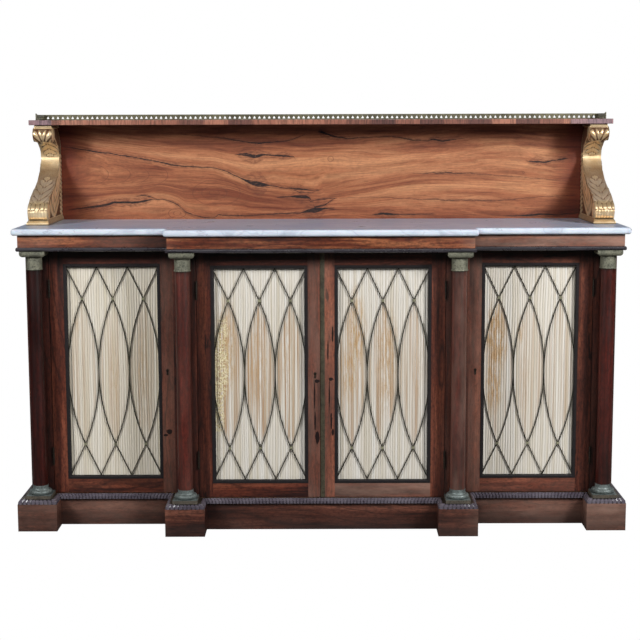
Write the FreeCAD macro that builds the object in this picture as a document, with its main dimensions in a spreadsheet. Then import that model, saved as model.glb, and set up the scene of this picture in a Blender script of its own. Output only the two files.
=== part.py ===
"""A breakfront chiffonier: cupboards under a marble top, with a bracketed shelf above.

X runs along the front, -Y is the front, Z is up and the floor is Z = 0. The origin is on the
floor, in the middle of the width and the depth. All sizes are in millimetres.
"""
import FreeCAD, Part
import math
import os
import Sketcher

os.makedirs("parts", exist_ok=True)
doc = FreeCAD.newDocument("chiffonier")
sheet = doc.addObject("Spreadsheet::Sheet", "dims")
nodes = []


# ---------------------------------------------------------------- sizes and the sheet

class Size:
    """A length with its number and the expression that ties it to the sheet."""

    def __init__(self, number, text):
        self.number = number
        self.text = text

    def __add__(self, other):
        other = sized(other)
        return Size(self.number + other.number, f"({self.text} + {other.text})")

    def __sub__(self, other):
        other = sized(other)
        return Size(self.number - other.number, f"({self.text} - {other.text})")

    def __mul__(self, other):
        other = sized(other)
        return Size(self.number * other.number, f"({self.text} * {other.text})")

    def __truediv__(self, other):
        other = sized(other)
        return Size(self.number / other.number, f"({self.text} / {other.text})")

    def __neg__(self):
        return Size(-self.number, f"(-{self.text})")

    def __radd__(self, other):
        return sized(other) + self

    def __rsub__(self, other):
        return sized(other) - self

    def __rmul__(self, other):
        return sized(other) * self


def sized(value):
    """A plain number as a Size; a Size stays as it is."""
    if isinstance(value, Size):
        return value
    return Size(float(value), f"({float(value)!r})")


def size(name, number, note):
    """Put one driving dimension in the sheet and return it."""
    row = len(sheet.getUsedCells()) // 3 + 1
    sheet.set(f"A{row}", name)
    sheet.set(f"B{row}", str(number))
    sheet.set(f"C{row}", note)
    sheet.setAlias(f"B{row}", name)
    sheet.recompute()
    return Size(float(sheet.get(name)), f"dims.{name}")


marble_width = size("marble_width", 1827, "marble slab from end to end")
marble_depth = size("marble_depth", 485, "marble slab at the middle part")
marble_thick = size("marble_thick", 20, "marble slab")
marble_nose = size("marble_nose", 8, "rounding of the marble's edge")
top_height = size("top_height", 915, "floor to the top of the marble")
break_step = size("break_step", 60, "how far the middle stands ahead of the wings")
break_width = size("break_width", 918, "marble across the middle part")
marble_over = size("marble_over", 15, "marble beyond the frieze at the front")
marble_over_end = size("marble_over_end", 17, "marble beyond the frieze at the ends")
break_over = size("break_over", 10, "marble beyond the frieze at the sides of the middle part")

frieze_height = size("frieze_height", 36, "frieze boards")
frieze_thick = size("frieze_thick", 20, "frieze boards")
soffit_thick = size("soffit_thick", 12, "board under the frieze, and the bead on its edge")
bead_out = size("bead_out", 5, "bead ahead of the frieze")
bead_round = size("bead_round", 4.5, "rounding of the bead")
frieze_ahead = size("frieze_ahead", 65, "frieze ahead of the doors")
frieze_beyond = size("frieze_beyond", 9.5, "frieze beyond the case's end")
soffit_beyond = size("soffit_beyond", 9, "frieze beyond the middle posts")

base_height = size("base_height", 98, "floor to the top of the bottom board")
board_thick = size("board_thick", 18, "bottom board, partitions and shelves")
rail_thick = size("rail_thick", 22, "plinth rails")
case_back_inset = size("case_back_inset", 5, "case back ahead of the marble's back")
end_thick = size("end_thick", 20, "end panels")
back_thick = size("back_thick", 8, "back boards")
end_post_width = size("end_post_width", 68, "posts at the ends")
mid_post_width = size("mid_post_width", 69, "posts beside the middle part")
post_depth = size("post_depth", 30, "posts behind the plane of the wing doors")
shelf_rise = size("shelf_rise", 365, "inner shelves above the bottom board")
bearer = size("bearer", 15, "shelf bearers, square")
shelf_slack = size("shelf_slack", 1, "side clearance of the inner shelves")

block_width = size("block_width", 118, "plinth blocks under the columns")
block_depth = size("block_depth", 80, "plinth blocks ahead of the rails")
block_shift = size("block_shift", 4.5, "end blocks outside the axes of their columns")
reed_height = size("reed_height", 15, "reeded moulding")
reed_foot = size("reed_foot", 9.8, "moulding at its foot, from the back to between two reeds")
reed_belly = size("reed_belly", 8.6, "moulding where it starts to slope back")
reed_belly_height = size("reed_belly_height", 7.5, "height where it starts to slope back")
reed_top = size("reed_top", 1.8, "moulding at its top")
reed_out = size("reed_out", 2.2, "roundness of a reed")
reed_pitch = size("reed_pitch", 10.5, "one reed, about")

end_column_inset = size("end_column_inset", 33.5, "axis of an end column from the case's end")
mid_column_inset = size("mid_column_inset", 33, "axis of a middle column from its post's edge")
column_square = size("column_square", 74, "square of the base and of the abacus")
column_gap = size("column_gap", 0.5, "base square ahead of the door plane")
base_square_height = size("base_square_height", 10.5, "square of the base")
torus_height = size("torus_height", 14, "torus of the base")
torus_radius = size("torus_radius", 34, "torus of the base")
base_neck_height = size("base_neck_height", 13.5, "neck of the base")
neck_radius = size("neck_radius", 23.5, "necks of the base and the capital")
shaft_radius = size("shaft_radius", 22.5, "shaft at its foot")
shaft_taper = size("shaft_taper", 0.8, "how much thinner the shaft is at its top")
abacus_height = size("abacus_height", 16.5, "square of the capital")
abacus_round = size("abacus_round", 10, "rounding under the abacus")
capital_neck = size("capital_neck", 39, "neck of the capital with its bead")
capital_bead = size("capital_bead", 4, "bead at the foot of the capital")
capital_bead_out = size("capital_bead_out", 1, "bead beyond the neck")

door_thick = size("door_thick", 22, "door frames")
door_gap = size("door_gap", 1.5, "gap round a door at its sides and at the meeting edge")
door_rise = size("door_rise", 2.5, "gap under a door")
door_drop = size("door_drop", 2, "gap over a door")
meeting_offset = size("meeting_offset", 3.25, "meeting edge to the left of the middle")
wing_stile = size("wing_stile", 42.5, "stiles of the wing doors")
middle_stile = size("middle_stile", 41.5, "hinged stiles of the middle doors")
meeting_stile = size("meeting_stile", 36, "stile that carries the middle lock")
astragal_stile = size("astragal_stile", 42.5, "stile that carries the astragal")
door_rail = size("door_rail", 41, "top rails of the doors")
door_low_rail = size("door_low_rail", 43, "bottom rails of the doors")
sight_width = size("sight_width", 10, "moulding round the glassless opening")
sight_depth = size("sight_depth", 10, "moulding from front to back")
sight_out = size("sight_out", 1, "moulding ahead of the door frame")
sight_round = size("sight_round", 4, "rounding of the moulding")
bow_spacing = size("bow_spacing", 92.5, "bows of the grille, from one to the next")
bow_straight = size("bow_straight", 96.5, "straight ends of the bows, up to where they cross")
wire_width = size("wire_width", 3, "grille wires across")
wire_thick = size("wire_thick", 2.5, "grille wires from front to back")
collar_size = size("collar_size", 8, "collars where the wires cross, square")
collar_out = size("collar_out", 1, "collars ahead of the wires")
silk_thick = size("silk_thick", 3, "pleated silk")
silk_clear = size("silk_clear", 0.3, "clearance round the silk")
stretcher_width = size("stretcher_width", 14, "stretcher that the silk is tacked to")
stretcher_thick = size("stretcher_thick", 6, "stretcher that the silk is tacked to")
astragal_width = size("astragal_width", 13, "brass strip on the meeting edge")
astragal_out = size("astragal_out", 2, "brass strip ahead of the door")

hinge_length = size("hinge_length", 50, "hinges")
hinge_margin = size("hinge_margin", 90, "hinge from the end of its door")
leaf_thick = size("leaf_thick", 2, "hinge leaves")
leaf_depth = size("leaf_depth", 18, "hinge leaves from front to back")
knuckle_radius = size("knuckle_radius", 2.8, "hinge knuckles")
knuckle_clear = size("knuckle_clear", 0.3, "knuckle to the wood behind it")
knuckle_gap = size("knuckle_gap", 0.4, "one knuckle to the next")
pin_head = size("pin_head", 1.6, "heads of the hinge pins")
pin_radius = size("pin_radius", 1.5, "hinge pins")
pin_slack = size("pin_slack", 0.05, "pin in its knuckle, on the radius")

lock_height = size("lock_height", 479, "floor to the keyholes")
lock_length = size("lock_length", 50, "lock case, up and down")
lock_width = size("lock_width", 34, "lock case across the stile")
lock_thick = size("lock_thick", 10, "lock case from front to back")
bolt_height = size("bolt_height", 12, "lock bolt")
bolt_thick = size("bolt_thick", 4.5, "lock bolt")
bolt_length = size("bolt_length", 22, "lock bolt")
bolt_clear = size("bolt_clear", 0.3, "lock bolt in its case")
bolt_room = size("bolt_room", 1.2, "room behind a lock bolt, and ahead of a thrown one")
bolt_travel = size("bolt_travel", 8, "throw of a lock bolt")
wing_keyhole = size("wing_keyhole", 25, "keyhole from the edge of a wing door")
middle_keyhole = size("middle_keyhole", 14.5, "keyhole from the meeting edge")
key_radius = size("key_radius", 2, "round part of a keyhole")
key_slot = size("key_slot", 8, "slot of a keyhole under its middle")
plate_radius = size("plate_radius", 4, "round part of an escutcheon")
plate_tail = size("plate_tail", 14, "tail of an escutcheon")
plate_tail_width = size("plate_tail_width", 5, "tail of an escutcheon, across")
plate_out = size("plate_out", 1, "escutcheon ahead of the door")
slip_radius = size("slip_radius", 3, "slip bolts")
slip_slack = size("slip_slack", 0.08, "slip bolt in its guide, on the radius")
slip_length = size("slip_length", 75, "slip bolts")
slip_travel = size("slip_travel", 9, "throw of a slip bolt")
socket_slack = size("socket_slack", 0.32, "slip bolt in its socket, on the radius")
guide_width = size("guide_width", 14, "guides of the slip bolts")
guide_length = size("guide_length", 40, "guides of the slip bolts")
guide_inset = size("guide_inset", 12, "guide from the end of the door")
knob_length = size("knob_length", 9, "knobs of the slip bolts")
knob_inset = size("knob_inset", 4.5, "knob from the tail of its bolt")

upper_rise = size("upper_rise", 316.5, "top of the marble to the top of the upper shelf")
upper_side = size("upper_side", 12.5, "upper shelf inside the marble at each end")
upper_depth = size("upper_depth", 165, "upper shelf")
upper_thick = size("upper_thick", 15.5, "upper shelf")
upper_round = size("upper_round", 1.5, "edge of the upper shelf")
upper_inset = size("upper_inset", 2, "back of the upper shelf ahead of the marble's back")
panel_thick = size("panel_thick", 16, "back panel")
panel_inset = size("panel_inset", 16, "back panel from the end of the upper shelf")
gallery_height = size("gallery_height", 16.5, "pierced gallery")
gallery_thick = size("gallery_thick", 2.5, "pierced gallery")
gallery_inset = size("gallery_inset", 21, "gallery from the end of the upper shelf")
gallery_front = size("gallery_front", 6, "gallery from the front of the upper shelf")
gallery_pitch = size("gallery_pitch", 15.7, "one arch of the gallery, about")
gallery_rail = size("gallery_rail", 3.2, "solid lower edge of the gallery")
gallery_crown = size("gallery_crown", 5, "solid upper edge of the gallery")
gallery_jamb = size("gallery_jamb", 2.5, "upright side of an arch, below its point")
gallery_bar = size("gallery_bar", 8.2, "metal between two arches")
gallery_sweep = size("gallery_sweep", 4, "rise of the gallery at its front ends")
sweep_length = size("sweep_length", 22, "length of that rise")

console_inset = size("console_inset", 41.5, "middle of a console from the end of the upper shelf")
console_width = size("console_width", 60, "scroll of a console")
console_foot = size("console_foot", 68, "base of a console, across")
foot_reach = size("foot_reach", 267, "base of a console, from the back panel")
foot_height = size("foot_height", 7, "square edge of a console's base")
cyma_height = size("cyma_height", 9, "curve over a console's base")
cyma_reach = size("cyma_reach", 252, "top of that curve from the back panel")
foot_roll = size("foot_roll", 24, "radius of the lower scroll")
foot_roll_reach = size("foot_roll_reach", 238, "lower scroll from the back panel")
head_roll = size("head_roll", 22, "radius of the upper scroll")
head_roll_reach = size("head_roll_reach", 128, "upper scroll from the back panel")
cap_height = size("cap_height", 9, "cap over the upper scroll")
cap_reach = size("cap_reach", 139, "cap from the back panel")
cap_width = size("cap_width", 54, "cap across")
knee_reach = size("knee_reach", 199, "front line over the lower scroll, from the back panel")
knee_rise = size("knee_rise", 50, "front line there, over the middle of the lower scroll")
calf_reach = size("calf_reach", 128, "front line halfway to the waist, from the back panel")
calf_rise = size("calf_rise", 75, "front line there, over the middle of the lower scroll")
shin_reach = size("shin_reach", 71, "front line under the waist, from the back panel")
shin_drop = size("shin_drop", 61, "front line there, under the waist")
waist_reach = size("waist_reach", 27, "thinnest part of a console")
waist_drop = size("waist_drop", 95, "waist under the upper shelf")
throat_reach = size("throat_reach", 60, "front line under the upper scroll, from the back panel")
throat_drop = size("throat_drop", 34, "front line there, under the middle of the upper scroll")
nape_reach = size("nape_reach", 55, "back line under the cap, from the back panel")
nape_drop = size("nape_drop", 57, "where the back line meets the back panel, under the cap")
volute_rib = size("volute_rib", 3.4, "rib of a volute at its start")
volute_end = size("volute_end", 1.8, "rib of a volute at its end")
volute_eye = size("volute_eye", 6, "round eye of a volute, radius")
volute_out = size("volute_out", 1.5, "rib of a volute off the side")
volute_eye_out = size("volute_eye_out", 2.4, "eye of a volute off the side")
volute_edge = size("volute_edge", 1, "rib of a volute inside the scroll's edge")
roll_sunk = size("roll_sunk", 1.5, "scrolls into the base and the cap")


# ---------------------------------------------------------------- making pieces

def bind(thing, path, value):
    thing.setExpression(path, sized(value).text)


def place(thing, x, y, z):
    for axis, value in zip("xyz", (x, y, z)):
        bind(thing, f"Placement.Base.{axis}", value)


def ordered(low, high):
    """A pair of planes, the lower one first."""
    return (low, high) if sized(low).number <= sized(high).number else (high, low)


def box(x, y, z):
    """A board between two planes along each axis."""
    piece = doc.addObject("Part::Box", "Board")
    spans = [ordered(*pair) for pair in (x, y, z)]
    for side, (low, high) in zip(("Length", "Width", "Height"), spans):
        bind(piece, side, sized(high) - low)
    place(piece, *(low for low, _ in spans))
    return piece


def rod(x, y, z, radius, length, along="z"):
    """A cylinder from a point, along Z or back along Y."""
    piece = doc.addObject("Part::Cylinder", "Rod")
    bind(piece, "Radius", radius)
    bind(piece, "Height", length)
    if along == "y":
        piece.Placement.Rotation = FreeCAD.Rotation(FreeCAD.Vector(1, 0, 0), -90)
    place(piece, x, y, z)
    return piece


def gather(kind, prop, pieces):
    thing = doc.addObject(kind, kind.split("::")[1])
    setattr(thing, prop, pieces)
    return thing


def group(pieces):
    """Separate solids in one sub-part."""
    return gather("Part::Compound", "Links", pieces)


def fuse(pieces):
    return gather("Part::MultiFuse", "Shapes", pieces)


def cut(base, tools):
    piece = doc.addObject("Part::Cut", "Cut")
    piece.Base = base
    piece.Tool = tools[0] if len(tools) == 1 else group(tools)
    return piece


def mirror(source, middle=0):
    """The same piece on the other side of an upright plane, by default the middle one."""
    piece = doc.addObject("Part::Mirroring", "Mirror")
    piece.Source = source
    piece.Normal = FreeCAD.Vector(1, 0, 0)
    bind(piece, "Base.x", middle)
    return piece


def feature(shape, x=0, y=0, z=0):
    piece = doc.addObject("Part::Feature", "Shape")
    piece.Shape = shape
    place(piece, x, y, z)
    return piece


def node(label, piece):
    piece.Label = label
    nodes.append(piece)
    return piece


def body(x=0, y=0, z=0):
    piece = doc.addObject("PartDesign::Body", "Body")
    place(piece, x, y, z)
    return piece


def arc_middle(start, end, radius, side):
    """The middle of an arc between two points; side 1 bulges to the left of the way."""
    half = (end - start) * 0.5
    rise = radius - math.sqrt(max(radius * radius - half.Length ** 2, 0.0))
    left = FreeCAD.Vector(-half.y, half.x, 0).normalize()
    return start + half + left * rise * side


def sketch(owner, plane, corners):
    """A closed outline. A corner is (x, y), or (x, y, radius, side) where an arc reaches it."""
    outline = owner.newObject("Sketcher::SketchObject", "Outline")
    support = [f for f in owner.Origin.OriginFeatures if f.Role == plane][0]
    outline.AttachmentSupport = (support, [""])
    outline.MapMode = "FlatFace"
    add_loop(outline, corners)
    return outline


def add_loop(outline, corners):
    points = [FreeCAD.Vector(sized(c[0]).number, sized(c[1]).number, 0) for c in corners]
    first = outline.GeometryCount
    count = len(corners)
    for index, corner in enumerate(corners):
        start, end = points[index - 1], points[index]
        if len(corner) == 2:
            outline.addGeometry(Part.LineSegment(start, end), False)
        else:
            middle = arc_middle(start, end, sized(corner[2]).number, corner[3])
            outline.addGeometry(Part.Arc(start, middle, end), False)
    for index, corner in enumerate(corners):
        edge = first + index
        following = first + (index + 1) % count
        # An arc is stored counterclockwise, so one that bulges left runs from end to start.
        end_point = 1 if len(corner) == 4 and corner[3] > 0 else 2
        next_corner = corners[(index + 1) % count]
        start_point = 2 if len(next_corner) == 4 and next_corner[3] > 0 else 1
        outline.addConstraint(Sketcher.Constraint("Coincident", edge, end_point, following, start_point))
        for direction, value in (("DistanceX", corner[0]), ("DistanceY", corner[1])):
            fix(outline, (direction, -1, 1, edge, end_point), value)
        if len(corner) == 4:
            fix_arc(outline, edge, corners[index - 1], corner)


def fix_arc(outline, edge, start, end):
    """A half circle is fixed by its centre, any other arc by its radius."""
    width, height = sized(end[0]) - start[0], sized(end[1]) - start[1]
    half_circle = near(math.hypot(width.number, height.number), sized(end[2]).number * 2)
    if not half_circle:
        fix(outline, ("Radius", edge), end[2])
    elif near(width.number, 0):
        fix(outline, ("DistanceX", -1, 1, edge, 3), start[0])
    else:
        fix(outline, ("DistanceY", -1, 1, edge, 3), start[1])


def fix(outline, what, value):
    number = outline.addConstraint(Sketcher.Constraint(*what, sized(value).number))
    bind(outline, f"Constraints[{number}]", value)


def pad(owner, outline, length, backwards=False):
    solid = owner.newObject("PartDesign::Pad", "Pad")
    solid.Profile = outline
    solid.Reversed = backwards
    bind(solid, "Length", length)
    return solid


def revolve(owner, outline):
    solid = owner.newObject("PartDesign::Revolution", "Turned")
    solid.Profile = outline
    solid.ReferenceAxis = (outline, ["V_Axis"])
    solid.Angle = 360
    return solid


def round_edges(owner, radius, wanted):
    """Round those edges of a body that pass a test, which is given their middle points."""
    doc.recompute()
    solid = owner.Tip
    names = []
    for index, edge in enumerate(solid.Shape.Edges, 1):
        middle = edge.valueAt((edge.FirstParameter + edge.LastParameter) / 2)
        if wanted(middle, edge):
            names.append(f"Edge{index}")
    rounding = owner.newObject("PartDesign::Fillet", "Rounding")
    rounding.Base = (solid, names)
    bind(rounding, "Radius", radius)


def repeat(owner, originals, pitch, count, direction):
    """A row of features along an axis of the body."""
    row = owner.newObject("PartDesign::LinearPattern", "Row")
    row.Originals = originals
    row.Direction = ([f for f in owner.Origin.OriginFeatures if f.Role == direction][0], [""])
    row.Mode = "Spacing"
    bind(row, "Offset", pitch)
    row.Occurrences = count
    owner.Tip = row
    return row


def near(a, b):
    return abs(a - b) < 0.01


def breakfront(half_wing, half_middle, wing_y, middle_y, back_y):
    """The plan of the case: a middle part that stands ahead of two wings."""
    return [
        (-half_wing, back_y), (-half_wing, wing_y), (-half_middle, wing_y),
        (-half_middle, middle_y), (half_middle, middle_y), (half_middle, wing_y),
        (half_wing, wing_y), (half_wing, back_y),
    ]


def breakfront_board(plan, low, thick):
    board = body(0, 0, low)
    pad(board, sketch(board, "XY_Plane", plan), thick)
    return board


# ---------------------------------------------------------------- main planes

marble_back = marble_depth / 2
marble_middle = -marble_depth / 2
marble_wing = marble_middle + break_step
frieze_middle = marble_middle + marble_over
frieze_wing = marble_wing + marble_over
door_middle = frieze_middle + frieze_ahead
door_wing = frieze_wing + frieze_ahead
post_back = door_wing + post_depth
case_back = marble_back - case_back_inset
boards_front = case_back - back_thick

frieze_half = marble_width / 2 - marble_over_end
frieze_half_middle = break_width / 2 - break_over
case_half = frieze_half - frieze_beyond
post_half = frieze_half_middle - soffit_beyond
end_column = case_half - end_column_inset
end_block = end_column + block_shift
mid_column = post_half - mid_column_inset
end_post_inner = case_half - end_post_width
mid_post_inner = post_half - mid_post_width
partition_middle = post_half - mid_post_width / 2
partition_outer = partition_middle + board_thick / 2
partition_inner = partition_middle - board_thick / 2

marble_low = top_height - marble_thick
frieze_low = marble_low - frieze_height
soffit_low = frieze_low - soffit_thick
bottom_low = base_height - board_thick
shelf_low = base_height + shelf_rise

door_low = base_height + door_rise
door_top = soffit_low - door_drop
reed_low = base_height - reed_height
reed_total = reed_foot + reed_out


# ---------------------------------------------------------------- doors, as data

class Door:
    """One door. Places across it are measured from its hinged edge towards its free edge."""

    def __init__(self, name, post, free, face, side, hinge_stile, free_stile):
        self.name = name
        self.post = post
        self.face = face
        self.side = side
        self.hinged = post + door_gap * side
        self.width = (free - self.hinged) * side
        self.hinge_stile = hinge_stile
        self.free_stile = free_stile
        self.axis_x = post + door_gap * (side / 2)
        self.axis_y = face - knuckle_radius - knuckle_clear

    def at(self, distance):
        return self.hinged + sized(distance) * self.side

    def across(self, start, end):
        return ordered(self.at(start), self.at(end))

    @property
    def inner(self):
        """Inner edges of the stiles."""
        return self.hinge_stile, self.width - self.free_stile

    @property
    def hinge_places(self):
        return door_low + hinge_margin, door_top - hinge_margin - hinge_length


meeting_left = -meeting_offset - door_gap / 2
meeting_right = -meeting_offset + door_gap / 2
wing_free = post_half + door_gap

door_left = Door("door_left", -end_post_inner, -wing_free, door_wing, 1, wing_stile, wing_stile)
door_right = Door("door_right", end_post_inner, wing_free, door_wing, -1, wing_stile, wing_stile)
door_middle_left = Door("door_middle_left", -mid_post_inner, meeting_left, door_middle, 1,
                        middle_stile, meeting_stile)
door_middle_right = Door("door_middle_right", mid_post_inner, meeting_right, door_middle, -1,
                         middle_stile, astragal_stile)
doors = (door_left, door_middle_left, door_middle_right, door_right)
keyholes = {door_left: wing_keyhole, door_middle_left: middle_keyhole, door_right: wing_keyhole}

sight_low = door_low + door_low_rail
sight_top = door_top - door_rail
lock_span = (lock_height - lock_length / 2, lock_height + lock_length / 2)


# ---------------------------------------------------------------- hinges

def knuckle_spans(low):
    """Where the three knuckles of a hinge are, from the bottom."""
    third = (hinge_length - knuckle_gap * 2) / 3
    step = third + knuckle_gap
    return [(low + step * index, low + step * index + third) for index in range(3)]


def leaf(door, low, plate_x, knuckles):
    """A hinge leaf: its plate in the wood, and the knuckles with webs to the plate."""
    plate = box(plate_x, (door.face, door.face + leaf_depth), (low, low + hinge_length))
    pieces = [plate]
    for bottom, top in knuckles:
        pieces.append(rod(door.axis_x, door.axis_y, bottom, knuckle_radius, top - bottom))
        pieces.append(box(plate_x, (door.axis_y, door.face), (bottom, top)))
    bore = rod(door.axis_x, door.axis_y, low, pin_radius + pin_slack, hinge_length)
    return cut(fuse(pieces), [bore])


def hinge_pin(door, low):
    """A pin through the three knuckles, with a flat head at each end."""
    shank = rod(door.axis_x, door.axis_y, low - knuckle_gap, pin_radius, hinge_length + knuckle_gap * 2)
    lower = rod(door.axis_x, door.axis_y, low - knuckle_gap - pin_head, knuckle_radius, pin_head)
    upper = rod(door.axis_x, door.axis_y, low + hinge_length + knuckle_gap, knuckle_radius, pin_head)
    return fuse([shank, lower, upper])


def recess(door, low, plate_x):
    """The space that a hinge leaf's plate takes in the wood."""
    return box(plate_x, (door.face, door.face + leaf_depth), (low, low + hinge_length))


def door_plate(door):
    return door.across(0, leaf_thick)


def case_plate(door):
    return ordered(door.post, door.post - leaf_thick * door.side)


def case_hinges():
    pieces = []
    for door in doors:
        for low in door.hinge_places:
            lower, _, upper = knuckle_spans(low)
            pieces.append(leaf(door, low, case_plate(door), [lower, upper]))
            pieces.append(hinge_pin(door, low))
    node("hinges_case", group(pieces))


def door_hinges(door):
    pieces = [leaf(door, low, door_plate(door), [knuckle_spans(low)[1]]) for low in door.hinge_places]
    node(f"{door.name}_hinges", group(pieces))


# ---------------------------------------------------------------- locks and bolts

def bolt_section(door, spare):
    """Depth and height of a lock bolt, with spare room all round."""
    middle = door.face + door_thick - lock_thick / 2
    half_thick = bolt_thick / 2 + spare
    half_height = bolt_height / 2 + spare
    return (middle - half_thick, middle + half_thick), (lock_height - half_height, lock_height + half_height)


def keyway(x, start, end):
    """The keyhole between two depths: a round hole and a slot under it."""
    hole = rod(x, start, lock_height, key_radius, end - start, "y")
    slot = box((x - key_radius / 2, x + key_radius / 2), (start, end),
               (lock_height - key_slot, lock_height))
    return fuse([hole, slot])


def escutcheon(door, x):
    """A thin brass plate with a round head and a straight tail, pierced by the keyhole."""
    head = rod(x, door.face - plate_out, lock_height, plate_radius, plate_out, "y")
    half_tail = plate_tail_width / 2
    tail = box((x - half_tail, x + half_tail), (door.face - plate_out, door.face),
               (lock_height - plate_tail, lock_height))
    return cut(fuse([head, tail]), [keyway(x, door.face - plate_out, door.face)])


def lock_parts(door):
    """A lock let into the back of the free stile, and its bolt, which is drawn back."""
    edge = door.width
    y_span, z_span = bolt_section(door, bolt_clear)
    case = box(door.across(edge - lock_width, edge),
               (door.face + door_thick - lock_thick, door.face + door_thick), lock_span)
    channel = box(door.across(edge - bolt_length - bolt_room, edge), y_span, z_span)
    x = door.at(edge - keyholes[door])
    into_case = keyway(x, door.face + door_thick - lock_thick, y_span[0])
    node(f"{door.name}_lock", group([cut(case, [channel, into_case]), escutcheon(door, x)]))

    y_span, z_span = bolt_section(door, 0)
    bolt = box(door.across(edge - bolt_length - bolt_clear, edge - bolt_clear), y_span, z_span)
    node(f"{door.name}_bolt", bolt)


def lock_pocket(door):
    """What the lock takes out of the free stile."""
    edge = door.width
    pocket = box(door.across(edge - lock_width, edge),
                 (door.face + door_thick - lock_thick, door.face + door_thick), lock_span)
    x = door.at(edge - keyholes[door])
    return [pocket, keyway(x, door.face, door.face + door_thick - lock_thick)]


def bolt_mortise(door):
    """The hole that a thrown lock bolt enters, in the post or in the other door."""
    y_span, z_span = bolt_section(door, bolt_clear)
    return box(door.across(door.width, door.width + bolt_travel + bolt_room), y_span, z_span)


def slip_x():
    return door_middle_right.at(door_middle_right.width - guide_width / 2 - stretcher_width / 2)


def slip_y():
    return door_middle + door_thick + guide_width / 2


def slip_bolt(name, tip, up):
    """A round bolt behind the free stile, with a turned knob on its tail."""
    tail = tip - slip_length * up
    low, _ = ordered(tip, tail)
    shank = rod(slip_x(), slip_y(), low, slip_radius, slip_length)
    knob = rod(slip_x(), slip_y(), tail + knob_inset * up, slip_radius, knob_length, "y")
    node(name, fuse([shank, knob]))


def slip_bolts():
    """Two bolts that hold the right middle door, each in its guide."""
    top_tip = door_top - bolt_clear
    low_tip = door_low + bolt_clear
    slip_bolt("slip_bolt_top", top_tip, 1)
    slip_bolt("slip_bolt_low", low_tip, -1)
    guides = []
    for low in (door_top - guide_inset - guide_length, door_low + guide_inset):
        across = (slip_x() - guide_width / 2, slip_x() + guide_width / 2)
        deep = (door_middle + door_thick, door_middle + door_thick + guide_width)
        guide = box(across, deep, (low, low + guide_length))
        bore = rod(slip_x(), slip_y(), low, slip_radius + slip_slack, guide_length)
        guides.append(cut(guide, [bore]))
    node("slip_bolt_guides", group(guides))


def slip_socket(low, length):
    return rod(slip_x(), slip_y(), low, slip_radius + socket_slack, length)


# ---------------------------------------------------------------- doors

def door_frame(door):
    """Two stiles and two rails; the hinges and the lock are let into the stiles."""
    deep = (door.face, door.face + door_thick)
    tall = (door_low, door_top)
    start, end = door.inner
    hinge_side = box(door.across(0, start), deep, tall)
    recesses = [recess(door, low, door_plate(door)) for low in door.hinge_places]
    hinge_side = cut(hinge_side, recesses)
    free_side = box(door.across(end, door.width), deep, tall)
    if door in keyholes:
        free_side = cut(free_side, lock_pocket(door))
    if door is door_middle_right:
        free_side = cut(free_side, [bolt_mortise(door_middle_left)])
    low_rail = box(door.across(start, end), deep, (door_low, sight_low))
    top_rail = box(door.across(start, end), deep, (sight_top, door_top))
    node(f"{door.name}_frame", group([hinge_side, free_side, low_rail, top_rail]))


def door_middle_point(door):
    start, end = door.inner
    return door.at((start + end) / 2), (sight_low + sight_top) / 2


def half_opening(door):
    start, end = door.inner
    return (end - start) / 2, (sight_top - sight_low) / 2


def rectangle(half_x, half_z):
    return [(-half_x, -half_z), (half_x, -half_z), (half_x, half_z), (-half_x, half_z)]


def sight_moulding(door):
    """The brass moulding inside the frame, rounded towards the opening."""
    x, z = door_middle_point(door)
    half_x, half_z = half_opening(door)
    ring = body(x, door.face - sight_out, z)
    outline = sketch(ring, "XZ_Plane", rectangle(half_x, half_z))
    add_loop(outline, rectangle(half_x - sight_width, half_z - sight_width))
    pad(ring, outline, sight_depth, True)
    inner_x, inner_z = half_x - sight_width, half_z - sight_width

    def on_front_sight(point, edge):
        inside = abs(point.x) < inner_x.number + 0.01 and abs(point.z) < inner_z.number + 0.01
        return near(point.y, 0) and inside

    round_edges(ring, sight_round, on_front_sight)
    node(f"{door.name}_moulding", ring)


def grille(door):
    """Bowed wires that cross into tall lenses, with square collars where they cross.

    Each wire runs straight from a corner of the lattice to the crossing, bends out in one arc to
    the next line at half height and back to the other crossing, and ends straight.
    """
    x, z = door_middle_point(door)
    half_x, half_z = half_opening(door)
    crossing = half_z - sight_width - bow_straight
    half_space = bow_spacing / 2
    bend = (crossing * crossing + half_space * half_space) / bow_spacing
    end_x = -bow_spacing - half_space / bow_straight * (bow_straight + sight_width)
    half_wire = wire_width / 2
    front = door.face - sight_out + sight_depth
    bows = body(x, front, z)
    outer, inner = -bow_spacing + half_wire, -bow_spacing - half_wire
    corners = [
        (end_x + half_wire, -half_z), (outer, -crossing), (outer, crossing, bend, -1),
        (end_x + half_wire, half_z), (end_x - half_wire, half_z), (inner, crossing),
        (inner, -crossing, bend, 1), (end_x - half_wire, -half_z),
    ]
    wire = pad(bows, sketch(bows, "XZ_Plane", corners), wire_thick, True)
    repeat(bows, [wire], bow_spacing, 3, "X_Axis")

    half = collar_size / 2
    deep = (front - collar_out, front + wire_thick)
    collars = []
    for column in (-1, 0, 1):
        middle = x + bow_spacing * column
        for height in (z - crossing, z + crossing):
            collars.append(box((middle - half, middle + half), deep, (height - half, height + half)))
    opening = box((x - half_x + silk_clear, x + half_x - silk_clear), deep, (z - half_z, z + half_z))
    lattice = fuse([bows, mirror(bows, x)] + collars)
    node(f"{door.name}_grille", gather("Part::MultiCommon", "Shapes", [lattice, opening]))


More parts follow.
